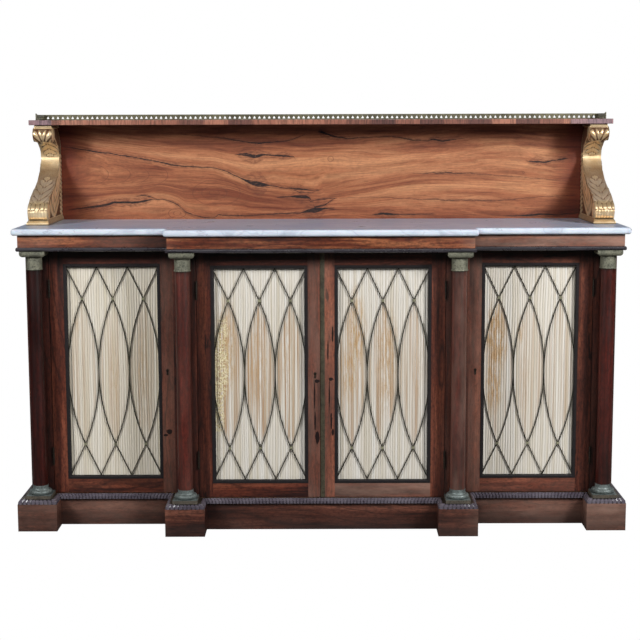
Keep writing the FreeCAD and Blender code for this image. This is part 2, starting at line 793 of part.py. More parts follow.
def silk_parts(door):
    """The silk, a flat pad with room round it, and the stretcher it is tacked to."""
    start, end = door.inner
    front = door.face - sight_out + sight_depth + wire_thick + silk_clear
    back = front + silk_thick
    silk = box(door.across(start + silk_clear, end - silk_clear), (front, back),
               (sight_low + silk_clear, sight_top - silk_clear))
    node(f"{door.name}_silk", silk)

    deep = (back + silk_clear, back + silk_clear + stretcher_thick)
    inner = start + stretcher_width, end - stretcher_width
    frame = [
        box(door.across(start, inner[0]), deep, (sight_low, sight_top)),
        box(door.across(inner[1], end), deep, (sight_low, sight_top)),
        box(door.across(*inner), deep, (sight_low, sight_low + stretcher_width)),
        box(door.across(*inner), deep, (sight_top - stretcher_width, sight_top)),
    ]
    node(f"{door.name}_stretcher", group(frame))


def astragal():
    """A half-round brass strip on the face of the right middle door, along its free edge."""
    door = door_middle_right
    strip = body(door.at(door.width - astragal_width / 2), door.face, door_low)
    half = astragal_width / 2
    bulge = (half * half + astragal_out * astragal_out) / (astragal_out * 2)
    corners = [(-half, 0), (half, 0, bulge, -1)]
    pad(strip, sketch(strip, "XY_Plane", corners), door_top - door_low)
    node("astragal", strip)


# ---------------------------------------------------------------- plinth

def plinth_rails():
    """Rails under the case: they follow the break of the front, and close the ends and back."""
    low = (0, bottom_low)
    middle = box((-post_half, post_half), (door_middle, door_middle + rail_thick), low)
    wing = box((-case_half, -post_half), (door_wing, door_wing + rail_thick), low)
    inner = box((-post_half, -post_half + rail_thick),
                (door_middle + rail_thick, door_wing + rail_thick), low)
    node("plinth_front_rails", group([middle, wing, inner, mirror(wing), mirror(inner)]))
    end = box((-case_half, -case_half + rail_thick),
              (door_wing + rail_thick, case_back - rail_thick), low)
    back = box((-case_half, case_half), (case_back - rail_thick, case_back), low)
    node("plinth_back_rails", group([end, mirror(end), back]))


def plinth_block(middle, back, corner, ear_back):
    """A block ahead of the rails, returned along the side of the case, and stepped in at its top
    for the moulding."""
    pieces = []
    for inset, low, high in ((0, 0, reed_low), (reed_total, reed_low, base_height)):
        half = block_width / 2 - inset
        front = back - block_depth + inset
        pieces.append(box((middle - half, middle + half), (front, back), (low, high)))
        pieces.append(box((middle - half, corner), (back, ear_back), (low, high)))
    return fuse(pieces)


def plinth_blocks():
    """The end blocks run on to the back, as the plinth of the sides."""
    end = plinth_block(-end_block, door_wing, -case_half, case_back)
    mid = plinth_block(-mid_column, door_middle, -post_half, door_wing)
    node("plinth_blocks", group([end, mid, mirror(mid), mirror(end)]))


def outside_of(start, end):
    """The direction to the right of the way from start to end."""
    way = end - start
    return FreeCAD.Vector(way.y, -way.x, 0).normalize()


def moved_out(path, index, distance):
    """A corner of a path, moved out square to both of the lines that meet there."""
    corner = FreeCAD.Vector(path[index])
    for start in (index - 1, index):
        if 0 <= start < len(path) - 1:
            corner += outside_of(path[start], path[start + 1]) * distance
    return corner


def reeded_line(start, end, out, count):
    """A row of reeds in plan: each rises in three flats from the hollow beside it."""
    swell = out * reed_out.number
    points = []
    for index in range(count):
        for share, rise in ((0, 0), (0.28, 1), (0.72, 1)):
            points.append(start + (end - start) * ((index + share) / count) + swell * rise)
    return points + [end]


def reeded_run(path, index):
    """One side of the moulding, mitred at its ends; it swells and then slopes back to its top."""
    start, end = path[index], path[index + 1]
    count = max(1, round((end - start).Length / reed_pitch.number))
    out = outside_of(start, end)
    outlines = []
    for height, depth in ((0, reed_foot), (reed_belly_height, reed_belly), (reed_height, reed_top)):
        corners = [moved_out(path, place, depth.number) for place in (index, index + 1)]
        points = [start] + reeded_line(*corners, out, count) + [end, start]
        lift = FreeCAD.Vector(0, 0, sized(height).number)
        outlines.append(Part.makePolygon([point + lift for point in points]))
    return Part.makeLoft(outlines, True, True)


def reeded_moulding():
    """Reeds on the edge of the bottom board, round the blocks and along the sides."""
    core = block_width / 2 - reed_total
    end_front, mid_front = door_wing - block_depth + reed_total, door_middle - block_depth + reed_total
    left = [
        (-end_block - core, case_back), (-end_block - core, end_front), (-end_block + core, end_front),
        (-end_block + core, door_wing), (-mid_column - core, door_wing), (-mid_column - core, mid_front),
        (-mid_column + core, mid_front), (-mid_column + core, door_middle),
    ]
    corners = left + [(-x, y) for x, y in left[::-1]]
    path = [FreeCAD.Vector(sized(x).number, sized(y).number, 0) for x, y in corners]
    runs = [reeded_run(path, index) for index in range(len(path) - 1)]
    node("reeded_moulding", feature(Part.makeCompound(runs), 0, 0, reed_low))


# ---------------------------------------------------------------- case

def bottom_board():
    board = breakfront_board(
        breakfront(case_half, post_half, door_wing, door_middle, case_back), bottom_low, board_thick)
    socket_depth = slip_travel + door_rise
    node("bottom_board", cut(board, [slip_socket(base_height - socket_depth, socket_depth)]))


def front_posts():
    """Posts behind the columns: the doors hang on them and their locks shoot into them."""
    tall = (base_height, soffit_low)

    def post(door, x, front, mortises):
        recesses = [recess(door, low, case_plate(door)) for low in door.hinge_places]
        return cut(box(x, (front, post_back), tall), recesses + mortises)

    pieces = [
        post(door_left, (-case_half, -end_post_inner), door_wing, []),
        post(door_middle_left, (-post_half, -mid_post_inner), door_middle, [bolt_mortise(door_left)]),
        post(door_middle_right, (mid_post_inner, post_half), door_middle, [bolt_mortise(door_right)]),
        post(door_right, (end_post_inner, case_half), door_wing, []),
    ]
    node("front_posts", group(pieces))


def upright_panels():
    tall = (base_height, soffit_low)
    end = box((-case_half, -case_half + end_thick), (post_back, case_back), tall)
    node("end_panel_left", end)
    node("end_panel_right", mirror(end))
    partition = box((-partition_outer, -partition_inner), (post_back, boards_front), tall)
    node("partition_left", partition)
    node("partition_right", mirror(partition))


def back_boards():
    """Upright boards side by side between the end panels."""
    half = case_half - end_thick
    count = 6
    width = half * 2 / count
    pieces = []
    for index in range(count):
        left = width * index - half
        pieces.append(box((left, left + width), (boards_front, case_back), (base_height, soffit_low)))
    node("back_boards", group(pieces))


def inner_shelves():
    """A shelf in each of the three compartments, on bearers at its ends."""
    high = (shelf_low, shelf_low + board_thick)
    deep = (post_back, boards_front)
    wing = box((-case_half + end_thick + shelf_slack, -partition_outer - shelf_slack), deep, high)
    middle = box((-partition_inner + shelf_slack, partition_inner - shelf_slack), deep, high)
    node("inner_shelves", group([wing, middle, mirror(wing)]))

    under = (shelf_low - bearer, shelf_low)
    faces = (
        (-case_half + end_thick, -case_half + end_thick + bearer),
        (-partition_outer - bearer, -partition_outer),
        (-partition_inner, -partition_inner + bearer),
    )
    left = [box(x, deep, under) for x in faces]
    node("shelf_bearers", group(left + [mirror(piece) for piece in left]))


def soffit():
    """The board that covers the case and carries the frieze; its front edge bears a bead."""
    plan = breakfront(frieze_half, frieze_half_middle, frieze_wing, frieze_middle, case_back)
    board = breakfront_board(plan, soffit_low, soffit_thick)
    socket_depth = slip_travel + bolt_clear
    node("soffit_board", cut(board, [slip_socket(soffit_low, socket_depth)]))


def frieze_bead():
    outer = breakfront(frieze_half + bead_out, frieze_half_middle + bead_out,
                       frieze_wing - bead_out, frieze_middle - bead_out, case_back)
    inner = breakfront(frieze_half, frieze_half_middle, frieze_wing, frieze_middle, case_back)
    bead = breakfront_board(outer + inner[::-1], soffit_low, soffit_thick)
    outer_xs = [frieze_half.number + bead_out.number, frieze_half_middle.number + bead_out.number]
    outer_ys = [frieze_wing.number - bead_out.number, frieze_middle.number - bead_out.number]

    def on_outer_rim(point, edge):
        level = near(point.z, 0) or near(point.z, soffit_thick.number)
        flank = any(near(abs(point.x), x) for x in outer_xs) or any(near(point.y, y) for y in outer_ys)
        return level and flank

    round_edges(bead, bead_round, on_outer_rim)
    node("frieze_bead", bead)


def frieze():
    """Boards on the soffit, behind the marble's edge, with two bearers from front to back."""
    high = (frieze_low, marble_low)
    behind_middle = frieze_middle + frieze_thick
    behind_wing = frieze_wing + frieze_thick
    middle = box((-frieze_half_middle, frieze_half_middle), (frieze_middle, behind_middle), high)
    inner = box((-frieze_half_middle, -frieze_half_middle + frieze_thick),
                (behind_middle, case_back - frieze_thick), high)
    wing = box((-frieze_half, -frieze_half_middle), (frieze_wing, behind_wing), high)
    end = box((-frieze_half, -frieze_half + frieze_thick), (behind_wing, case_back), high)
    back = box((-frieze_half + frieze_thick, frieze_half - frieze_thick),
               (case_back - frieze_thick, case_back), high)
    left = [inner, wing, end]
    node("frieze", group([middle, back] + left + [mirror(piece) for piece in left]))


def marble_top():
    plan = breakfront(marble_width / 2, break_width / 2, marble_wing, marble_middle, marble_back)
    slab = breakfront_board(plan, marble_low, marble_thick)
    back = marble_back.number

    def front_corner(point, edge):
        upright = near(edge.BoundBox.ZLength, marble_thick.number)
        convex = near(point.y, marble_middle.number) or near(abs(point.x), marble_width.number / 2)
        return upright and convex and not near(point.y, back)

    round_edges(slab, marble_nose, front_corner)

    def front_rim(point, edge):
        level = near(edge.BoundBox.ZLength, 0)
        return level and not near(point.y, back)

    round_edges(slab, marble_nose, front_rim)
    node("marble_top", slab)


# ---------------------------------------------------------------- columns

shaft_low = base_height + base_square_height + torus_height + base_neck_height
shaft_top = soffit_low - abacus_height - capital_neck


def column_places():
    """Axes of the four columns, from left to right."""
    wing_y = door_wing - column_gap - column_square / 2
    middle_y = door_middle - column_gap - column_square / 2
    return ((-end_column, wing_y), (-mid_column, middle_y), (mid_column, middle_y), (end_column, wing_y))


def shaft(x, y):
    piece = body(x, y, shaft_low)
    tall = shaft_top - shaft_low
    profile = [(0, 0), (shaft_radius, 0), (shaft_radius - shaft_taper, tall), (0, tall)]
    revolve(piece, sketch(piece, "XZ_Plane", profile))
    return piece


def column_base(x, y):
    """A square, a torus and a neck that spreads a little at its foot."""
    piece = body(x, y, base_height)
    half = column_square / 2
    square = [(-half, -half), (half, -half), (half, half), (-half, half)]
    pad(piece, sketch(piece, "XY_Plane", square), base_square_height)
    low = base_square_height
    high = low + torus_height
    top = high + base_neck_height
    core = torus_radius - torus_height / 2
    foot = (core + neck_radius) / 2
    profile = [
        (0, low), (core, low), (core, high, torus_height / 2, -1), (foot, high),
        (neck_radius, high + base_neck_height / 2, base_neck_height, 1), (neck_radius, top), (0, top),
    ]
    revolve(piece, sketch(piece, "XZ_Plane", profile))
    return piece


def capital(x, y):
    """A bead, a plain neck and a square abacus that is rounded in under its edge."""
    piece = body(x, y, shaft_top)
    half = column_square / 2
    bead_radius = neck_radius + capital_bead_out
    profile = [
        (0, 0), (bead_radius, 0), (bead_radius, capital_bead, capital_bead, -1),
        (neck_radius, capital_bead), (neck_radius, capital_neck), (0, capital_neck),
    ]
    revolve(piece, sketch(piece, "XZ_Plane", profile))
    square = [(-half, -half), (half, -half), (half, half), (-half, half)]
    abacus = sketch(piece, "XY_Plane", square)
    bind(abacus, "AttachmentOffset.Base.z", capital_neck)
    pad(piece, abacus, abacus_height)

    def under_abacus(point, edge):
        on_side = near(abs(point.x), half.number) or near(abs(point.y), half.number)
        return near(point.z, capital_neck.number) and on_side

    round_edges(piece, abacus_round, under_abacus)
    return piece


def columns():
    node("column_shafts", group([shaft(x, y) for x, y in column_places()]))
    node("column_bases", group([column_base(x, y) for x, y in column_places()]))
    node("column_capitals", group([capital(x, y) for x, y in column_places()]))


# ---------------------------------------------------------------- upper shelf and gallery

upper_height = top_height + upper_rise
upper_width = marble_width - upper_side * 2
console_middle = upper_width / 2 - console_inset
upper_low = upper_height - upper_thick
upper_back = marble_back - upper_inset
upper_front = upper_back - upper_depth
panel_front = upper_back - panel_thick
panel_half = upper_width / 2 - panel_inset
gallery_half = upper_width / 2 - gallery_inset


def back_panel():
    node("back_panel", box((-panel_half, panel_half), (panel_front, upper_back), (top_height, upper_low)))


def upper_shelf():
    board = body(0, 0, upper_low)
    half = upper_width / 2
    plan = [(-half, upper_front), (half, upper_front), (half, upper_back), (-half, upper_back)]
    pad(board, sketch(board, "XY_Plane", plan), upper_thick)

    def rim(point, edge):
        return near(edge.BoundBox.ZLength, 0) and not near(point.y, upper_back.number)

    round_edges(board, upper_round, rim)
    node("upper_shelf", board)


def gallery_strip(x, y, length, plane, direction, swept):
    """A pierced strip: a row of pointed openings between two solid edges. A swept one rises
    at its start."""
    strip = body(x, y, upper_height)
    face = [(0, 0), (length, 0), (length, gallery_height)]
    if swept:
        face += [(sweep_length, gallery_height), (0, gallery_height + gallery_sweep)]
    else:
        face += [(0, gallery_height)]
    pad(strip, sketch(strip, plane, face), gallery_thick, plane == "XZ_Plane")
    doc.recompute()
    count = max(1, round((length.number - gallery_bar.number) / gallery_pitch.number))
    pitch = (length - gallery_bar) / count
    spring = gallery_rail + gallery_jamb
    point = ((pitch + gallery_bar) / 2, gallery_height - gallery_crown)
    arch = [(gallery_bar, gallery_rail), (pitch, gallery_rail), (pitch, spring), point, (gallery_bar, spring)]
    opening = strip.newObject("PartDesign::Pocket", "Opening")
    opening.Profile = sketch(strip, plane, arch)
    opening.Type = "Length"
    opening.SideType = "Symmetric"
    bind(opening, "Length", gallery_thick * 4)
    repeat(strip, [opening], pitch, count, direction)
    return strip


def gallery():
    """A low brass gallery round the back and the ends of the upper shelf."""
    side_front = upper_front + gallery_front
    back = gallery_strip(-gallery_half, panel_front, gallery_half * 2, "XZ_Plane", "X_Axis", False)
    side = gallery_strip(-gallery_half, side_front, panel_front - side_front, "YZ_Plane", "Y_Axis", True)
    node("gallery", group([back, side, mirror(side)]))


# ---------------------------------------------------------------- consoles

def point(reach, height):
    """A point of a console's side, by its reach ahead of the back panel."""
    return FreeCAD.Vector(0, panel_front.number - reach, height)


def smooth(points):
    curve = Part.BSplineCurve()
    curve.interpolate(points)
    return curve.toShape()


def on_roll(reach, height, radius, degrees):
    angle = math.radians(degrees)
    return point(reach + radius * math.cos(angle), height + radius * math.sin(angle))


def volute(reach, height, roll, side):
    """A raised rib that winds inwards from a scroll's edge to a round eye, in quarter turns."""
    quarters = 5
    radius = roll - volute_edge.number

    def edge(share, thinner):
        rib = volute_rib.number + (volute_end.number - volute_rib.number) * share
        winding = radius - (radius - volute_eye.number) * share
        return on_roll(reach, height, winding - rib * thinner, 90 - quarters * 90 * share)

    def spiral(thinner):
        points = [edge(index / (quarters * 2), thinner) for index in range(quarters * 2 + 1)]
        return [Part.Arc(*points[index * 2:index * 2 + 3]).toShape() for index in range(quarters)]

    rim = spiral(0) + [Part.LineSegment(edge(1, 0), edge(1, 1)).toShape()]
    rim += spiral(1)[::-1] + [Part.LineSegment(edge(0, 1), edge(0, 0)).toShape()]
    across = FreeCAD.Vector(1, 0, 0)
    rib = Part.Face(Part.Wire(rim)).extrude(across * volute_out.number)
    eye = Part.makeCylinder(volute_eye.number, volute_eye_out.number, point(reach, height), across)
    relief = rib.fuse(eye)
    relief.translate(across * (console_width.number / 2))
    return relief if side > 0 else relief.mirror(FreeCAD.Vector(), across)


def console_body():
    """The S of the console in side view, with its two scrolls, as thick as it is wide."""
    sunk = roll_sunk.number
    foot_radius, head_radius = foot_roll.number, head_roll.number
    low = top_height.number + foot_height.number + cyma_height.number - sunk
    high = upper_low.number - cap_height.number + sunk
    waist = upper_low.number - waist_drop.number
    foot_x, foot_z = foot_roll_reach.number, low + foot_radius
    head_x, head_z = head_roll_reach.number, high - head_radius
    # The front line leaves the lower scroll, hollows to the waist and swings out to the upper one.
    front = [
        on_roll(foot_x, foot_z, foot_radius, 60),
        point(knee_reach.number, foot_z + knee_rise.number),
        point(calf_reach.number, foot_z + calf_rise.number),
        point(shin_reach.number, waist - shin_drop.number),
        point(waist_reach.number, waist),
        point(throat_reach.number, head_z - throat_drop.number),
        on_roll(head_x, head_z, head_radius, 221),
    ]
    nape = nape_drop.number
    back = [
        point(nape_reach.number, high), point(nape_reach.number * 0.4, high - nape * 0.4),
        point(0, high - nape),
    ]
    corner, sole, crown = point(0, low), point(foot_x, low), point(head_x, high)
    edges = [
        Part.LineSegment(corner, sole).toShape(),
        Part.Arc(sole, on_roll(foot_x, foot_z, foot_radius, -15), front[0]).toShape(),
        smooth(front),
        Part.Arc(front[-1], on_roll(head_x, head_z, head_radius, -25), crown).toShape(),
        Part.LineSegment(crown, back[0]).toShape(), smooth(back),
        Part.LineSegment(back[-1], corner).toShape(),
    ]
    across = FreeCAD.Vector(1, 0, 0)
    scroll = Part.Face(Part.Wire(edges)).extrude(across * console_width.number)
    scroll.translate(across * (-console_width.number / 2))
    ribs = []
    for side in (1, -1):
        ribs.append(volute(foot_x, foot_z, foot_radius, side))
        ribs.append(volute(head_x, head_z, head_radius, side))
    return scroll.fuse(ribs)


def level_rectangle(half, reach, height):
    """A level outline from the back panel forwards."""
    corners = ((-half, 0), (half, 0), (half, reach), (-half, reach), (-half, 0))
    return Part.makePolygon([FreeCAD.Vector(x, panel_front.number - y, height) for x, y in corners])


def console_base():
    """A square plinth and a slope up to the scroll."""
    low = top_height.number
    half = console_foot.number / 2
    reach = foot_reach.number
    step = low + foot_height.number
    corner = FreeCAD.Vector(-half, panel_front.number - reach, low)
    plinth = Part.makeBox(half * 2, reach, foot_height.number, corner)
    slope = Part.makeLoft([
        level_rectangle(half, reach, step),
        level_rectangle(console_width.number / 2, cyma_reach.number, step + cyma_height.number),
    ], True, True)
    return plinth.fuse(slope)


def console_cap():
    half = cap_width.number / 2
    reach = cap_reach.number
    corner = FreeCAD.Vector(-half, panel_front.number - reach, upper_low.number - cap_height.number)
    return Part.makeBox(half * 2, reach, cap_height.number, corner)


def consoles():
    """Carved scroll brackets between the marble and the upper shelf."""
    shape = console_body().fuse([console_base(), console_cap()]).removeSplitter()
    node("console_left", feature(shape, -console_middle))
    node("console_right", feature(shape, console_middle))


# ---------------------------------------------------------------- build

def check(things):
    for thing in things:
        if "Invalid" in thing.State or "Error" in thing.State:
            raise RuntimeError(f"{thing.Name} ({thing.Label}) is in state {thing.State}")


def write():
    for piece in nodes:
        shape = piece.Shape
        if shape.isNull() or not shape.isValid():
            raise RuntimeError(f"{piece.Label} has no valid shape")
        shape.exportStep(f"parts/{piece.Label}.step")


plinth_rails()
plinth_blocks()
reeded_moulding()
bottom_board()
front_posts()
upright_panels()
back_boards()
inner_shelves()
soffit()
frieze_bead()
frieze()
marble_top()
columns()
case_hinges()
for one_door in doors:
    door_frame(one_door)
    sight_moulding(one_door)
    grille(one_door)
    silk_parts(one_door)
    door_hinges(one_door)
for one_door in keyholes:
    lock_parts(one_door)
slip_bolts()
astragal()
back_panel()
upper_shelf()
gallery()
consoles()
doc.recompute()
check(doc.Objects)
write()
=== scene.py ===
"""The looks of the chiffonier: materials, carving, pleated silk, light and camera.

Metres, in the frame of the part: X along the front, -Y to the front, Z up, floor at Z = 0.
"""

import math
import random

import bpy
import numpy as np
from mathutils import Matrix, Vector


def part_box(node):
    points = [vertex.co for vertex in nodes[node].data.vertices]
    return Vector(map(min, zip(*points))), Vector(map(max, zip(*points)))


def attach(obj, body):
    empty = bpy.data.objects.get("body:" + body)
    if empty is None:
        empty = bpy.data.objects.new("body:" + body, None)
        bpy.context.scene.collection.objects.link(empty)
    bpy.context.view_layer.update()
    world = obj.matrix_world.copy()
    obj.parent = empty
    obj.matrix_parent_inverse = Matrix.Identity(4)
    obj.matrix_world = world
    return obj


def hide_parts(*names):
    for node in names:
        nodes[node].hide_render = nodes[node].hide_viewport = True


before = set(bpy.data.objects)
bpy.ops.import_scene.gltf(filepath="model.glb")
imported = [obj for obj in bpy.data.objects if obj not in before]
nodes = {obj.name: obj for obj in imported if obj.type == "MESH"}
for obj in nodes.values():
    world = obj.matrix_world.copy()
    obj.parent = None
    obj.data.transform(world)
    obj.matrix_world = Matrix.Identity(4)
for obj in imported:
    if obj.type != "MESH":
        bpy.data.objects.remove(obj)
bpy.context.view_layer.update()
MM = 0.001
CURVE_START, CURVE_LENGTH = -0.9, 1.8


# ---- shader graphs

def srgb(red, green, blue):
    """A colour given as 0 to 255, in the linear values that Blender wants."""
    channels = [c / 255 for c in (red, green, blue)]
    linear = [c / 12.92 if c <= 0.04045 else ((c + 0.055) / 1.055) ** 2.4 for c in channels]
    return (*linear, 1.0)


FIGURE_BLACK = srgb(26, 11, 9)
PORE_BLACK = srgb(20, 9, 8)


class Graph:
    """A material's node tree, with short calls for the nodes used here."""

    def __init__(self, name):
        self.material = bpy.data.materials.new(name)
        self.material.use_nodes = True
        self.tree = self.material.node_tree
        self.shader = self.tree.nodes["Principled BSDF"]

    def node(self, kind, **inputs):
        made = self.tree.nodes.new(kind)
        for name, value in inputs.items():
            self.put(made.inputs[name.replace("_", " ")], value)
        return made

    def put(self, socket, value):
        if isinstance(value, bpy.types.NodeSocket):
            self.tree.links.new(value, socket)
        else:
            socket.default_value = value

    def set(self, **inputs):
        """Set inputs of the shader, and give the material."""
        for name, value in inputs.items():
            self.put(self.shader.inputs[name.replace("_", " ")], value)
        return self.material

    def math(self, operation, a, b=0.0, clamp=False):
        made = self.node("ShaderNodeMath")
        made.operation = operation
        made.use_clamp = clamp
        self.put(made.inputs[0], a)
        self.put(made.inputs[1], b)
        return made.outputs[0]

    def plus(self, a, b):
        return self.math("ADD", a, b)

    def minus(self, a, b, clamp=False):
        return self.math("SUBTRACT", a, b, clamp)

    def times(self, a, b, clamp=False):
        return self.math("MULTIPLY", a, b, clamp)

    def over(self, a, b, clamp=False):
        return self.math("DIVIDE", a, b, clamp)

    def ellipse(self, x, z, x0, z0, half_width, half_height):
        """The squared distance from a place in millimetres, where 1 is the edge of an ellipse."""
        dx = self.over(self.minus(x, x0 * MM), half_width * MM)
        dz = self.over(self.minus(z, z0 * MM), half_height * MM)
        return self.plus(self.times(dx, dx), self.times(dz, dz))

    def place(self):
        """Object coordinates, which are the part's own frame."""
        return self.node("ShaderNodeTexCoord").outputs["Object"]

    def split(self, vector):
        made = self.node("ShaderNodeSeparateXYZ", Vector=vector)
        return made.outputs[0], made.outputs[1], made.outputs[2]

    def xyz(self):
        return self.split(self.place())

    def join(self, x, y, z):
        return self.node("ShaderNodeCombineXYZ", X=x, Y=y, Z=z).outputs[0]

    def noise(self, vector, stretch, detail=3.0, roughness=0.55, distortion=0.0, shift=(0, 0, 0)):
        """Clouds from 0 to 1. stretch is how many there are to the metre along each axis."""
        placed = self.node("ShaderNodeMapping", Vector=vector, Scale=stretch, Location=shift)
        return self.node("ShaderNodeTexNoise", Vector=placed.outputs[0], Scale=1.0, Detail=detail,
                         Roughness=roughness, Distortion=distortion).outputs["Fac"]

    def ramp(self, value, *stops):
        """Stops are (position, number) or (position, colour)."""
        made = self.node("ShaderNodeValToRGB", Fac=value)
        elements = made.color_ramp.elements
        while len(elements) < len(stops):
            elements.new(0.5)
        for element, (position, what) in zip(elements, stops):
            element.position = position
            element.color = what if hasattr(what, "__len__") else (what, what, what, 1)
        return made.outputs["Color"]

    def mix(self, factor, a, b, blend="MIX"):
        made = self.node("ShaderNodeMix")
        made.data_type = "RGBA"
        made.blend_type = blend
        self.put(made.inputs["Factor"], factor)
        self.put(made.inputs["A"], a)
        self.put(made.inputs["B"], b)
        return made.outputs["Result"]

    def shade(self, colour, by, amount=1.0):
        return self.mix(amount, colour, by, "MULTIPLY")

    def bump(self, height, strength, distance):
        return self.node("ShaderNodeBump", Height=height, Strength=strength, Distance=distance).outputs[0]

    def grime_and_shade(self, colour, reach, least, start=0.25):
        """Painted shade: darken a colour where other surfaces stand close, as in corners and creases,
        down to a share of it.
        """
        made = self.node("ShaderNodeAmbientOcclusion", Distance=reach)
        made.samples = 6
        return self.shade(colour, self.ramp(made.outputs["AO"], (start, least), (0.90, 1.0)))

    def contour(self, value, lines, width):
        """Thin dark lines along the level lines of a smooth value: 1 on a line, 0 off it."""
        phase = self.math("FRACT", self.times(value, lines))
        off = self.math("ABSOLUTE", self.minus(phase, 0.5))
        return self.ramp(off, (0.0, 1.0), (width, 0.0))


def along(graph, grain):
    """Coordinates turned so that the first runs along the grain."""
    x, y, z = graph.xyz()
    return {"x": (x, y, z), "y": (y, x, z), "z": (z, x, y)}[grain]


def rosewood(name, grain, tones, seed, lines, blots, warp=0.05, roughness=0.45, wear_and_light=(), under=(),
             scars=(), drawn=False):
    """Streaked wood with wandering dark figure, black blots, open pores, painted shade in corners and
    a polish gone uneven.

    tones are the dark, middle and light colours. The curve along the front is (x, how much the wood
    is paled, partly by the sun and partly as painted light, or given painted shade below zero), under
    is the painted shadow of a ledge above: its height, how far down it reaches and the share of light
    right under it, and scars are black places. A drawn one has the figure of the back panel.
    """
    graph = Graph(f"rosewood_{name}")
    dark, middle, light = (srgb(*tone) for tone in tones)
    g, a, b = along(graph, grain)
    if drawn:
        level = b
        b = graph.minus(b, follow_figure(graph, g, b))
    # The grain bends, slowly and quickly.
    straight = graph.join(g, a, b)
    sway = graph.noise(straight, (1.3, 4.0, 4.0), 2.0, shift=(seed, 0, 0))
    ripple = graph.noise(straight, (11, 34, 34), 2.0, shift=(0, seed, 0))
    bend = graph.times(graph.minus(sway, 0.5), warp)
    bend = graph.plus(bend, graph.times(graph.minus(ripple, 0.5), 0.008))
    bent = graph.join(g, graph.plus(a, bend), graph.plus(b, bend))
    # Broad and narrow streaks, and specks.
    broad = graph.noise(bent, (1.1, 12, 12), 4.0, 0.6, shift=(seed, seed, 0))
    streak = graph.noise(bent, (2.6, 62, 62), 4.0, 0.62, shift=(seed, 0, seed))
    fine = graph.noise(bent, (9, 330, 330), 3.0, 0.6, shift=(0, seed, seed))
    tone = graph.plus(graph.times(broad, 0.55), graph.times(streak, 0.45))
    colour = graph.ramp(tone, (0.39, dark), (0.50, middle), (0.61, light))
    mottle = graph.noise(straight, (70, 160, 160), 3.0, 0.7, shift=(seed, 1, 2))
    speckled = graph.ramp(mottle, (0.36, 0.52), (0.50, 0.92), (0.64, 1.16))
    colour = graph.shade(colour, speckled, 0.25 if drawn else 1.0)
    colour = graph.shade(colour, graph.ramp(fine, (0.34, 0.66), (0.60, 1.0)))
    # Wandering dark lines, and black blots.
    flow = graph.noise(bent, (0.8, 7.5, 7.5), 2.5, 0.5, shift=(seed * 2, 0, seed))
    spread = graph.noise(straight, (1.6, 6.0, 6.0), 2.0, shift=(seed + 4, 2, 0))
    where = graph.ramp(spread, (0.44, 0.0), (0.58, 1.0))
    amount = graph.times(graph.times(graph.contour(flow, 10.0, 0.09), where), lines)
    colour = graph.mix(amount, colour, FIGURE_BLACK)
    patch = graph.noise(bent, (4.2, 30, 30), 5.0, 0.62, shift=(seed, 9, seed))
    amount = graph.times(graph.ramp(patch, (0.645, 0.0), (0.665, 1.0)), blots)
    colour = graph.mix(amount, colour, PORE_BLACK)
    if drawn:
        colour = draw_figure(graph, g, level, colour)
    # Paler and darker along the front: sun bleaching, painted light and painted shade.
    if wear_and_light:
        colour = paint_wear_and_light(graph, straight, colour, wear_and_light)
    if scars:
        colour = scar(graph, colour, scars)
    # Painted shadow of the ledge above, darkest right under it.
    if under:
        ledge, reach, least = under
        height = graph.xyz()[2]
        close = graph.over(graph.minus(ledge, height), reach, True)
        colour = graph.shade(colour, graph.ramp(close, (0.0, least), (1.0, 1.0)))
    # Open pores, painted shade in corners, redder on the back panel, and an uneven polish.
    pores = graph.noise(straight, (45, 900, 900), 2.0, 0.5, shift=(seed, 0, 0))
    pore = graph.ramp(pores, (0.30, 0.0), (0.40, 1.0))
    colour = graph.mix(graph.ramp(pores, (0.30, 0.35), (0.40, 0.0)), colour, PORE_BLACK)
    colour = graph.grime_and_shade(colour, 0.11, (0.54, 0.34, 0.29, 1) if drawn else (0.25, 0.18, 0.16, 1))
    haze = graph.noise(straight, (5, 7, 7), 4.0, shift=(seed, 3, 1))
    rough = graph.ramp(haze, (0.3, roughness - 0.06), (0.7, roughness + 0.12))
    return graph.set(Base_Color=colour, Roughness=rough, Specular_IOR_Level=0.35,
                     Normal=graph.bump(pore, 0.25, 0.0003))


def drawn_curve(graph, x, places, low, span):
    """A value that goes through places (x in millimetres, value), all from low to low + span."""
    share = graph.over(graph.minus(x, CURVE_START), CURVE_LENGTH)
    made = graph.node("ShaderNodeFloatCurve", Value=share)
    points = made.mapping.curves[0].points
    while len(points) < len(places):
        points.new(0.5, 0.5)
    for point, (place, value) in zip(points, places):
        point.location = ((place * MM - CURVE_START) / CURVE_LENGTH, (value - low) / span)
        point.handle_type = "VECTOR"
    made.mapping.update()
    return graph.plus(graph.times(made.outputs[0], span), low)


def follow_figure(graph, g, b):
    """How far the grain is pulled up or down by the two long lines of the back panel."""
    pulled = 0.0
    for row, level, reach in GRAIN_BENDS:
        places = [(x, z * MM) for stroke in BACK_FIGURE[row] for x, z, _ in stroke]
        middle = drawn_curve(graph, g, places, FIGURE_FOOT, FIGURE_HEIGHT)
        off = graph.math("ABSOLUTE", graph.minus(b, middle))
        share = graph.minus(1.0, graph.over(off, reach), True)
        pulled = graph.plus(graph.times(share, graph.minus(middle, level)), pulled)
    return pulled


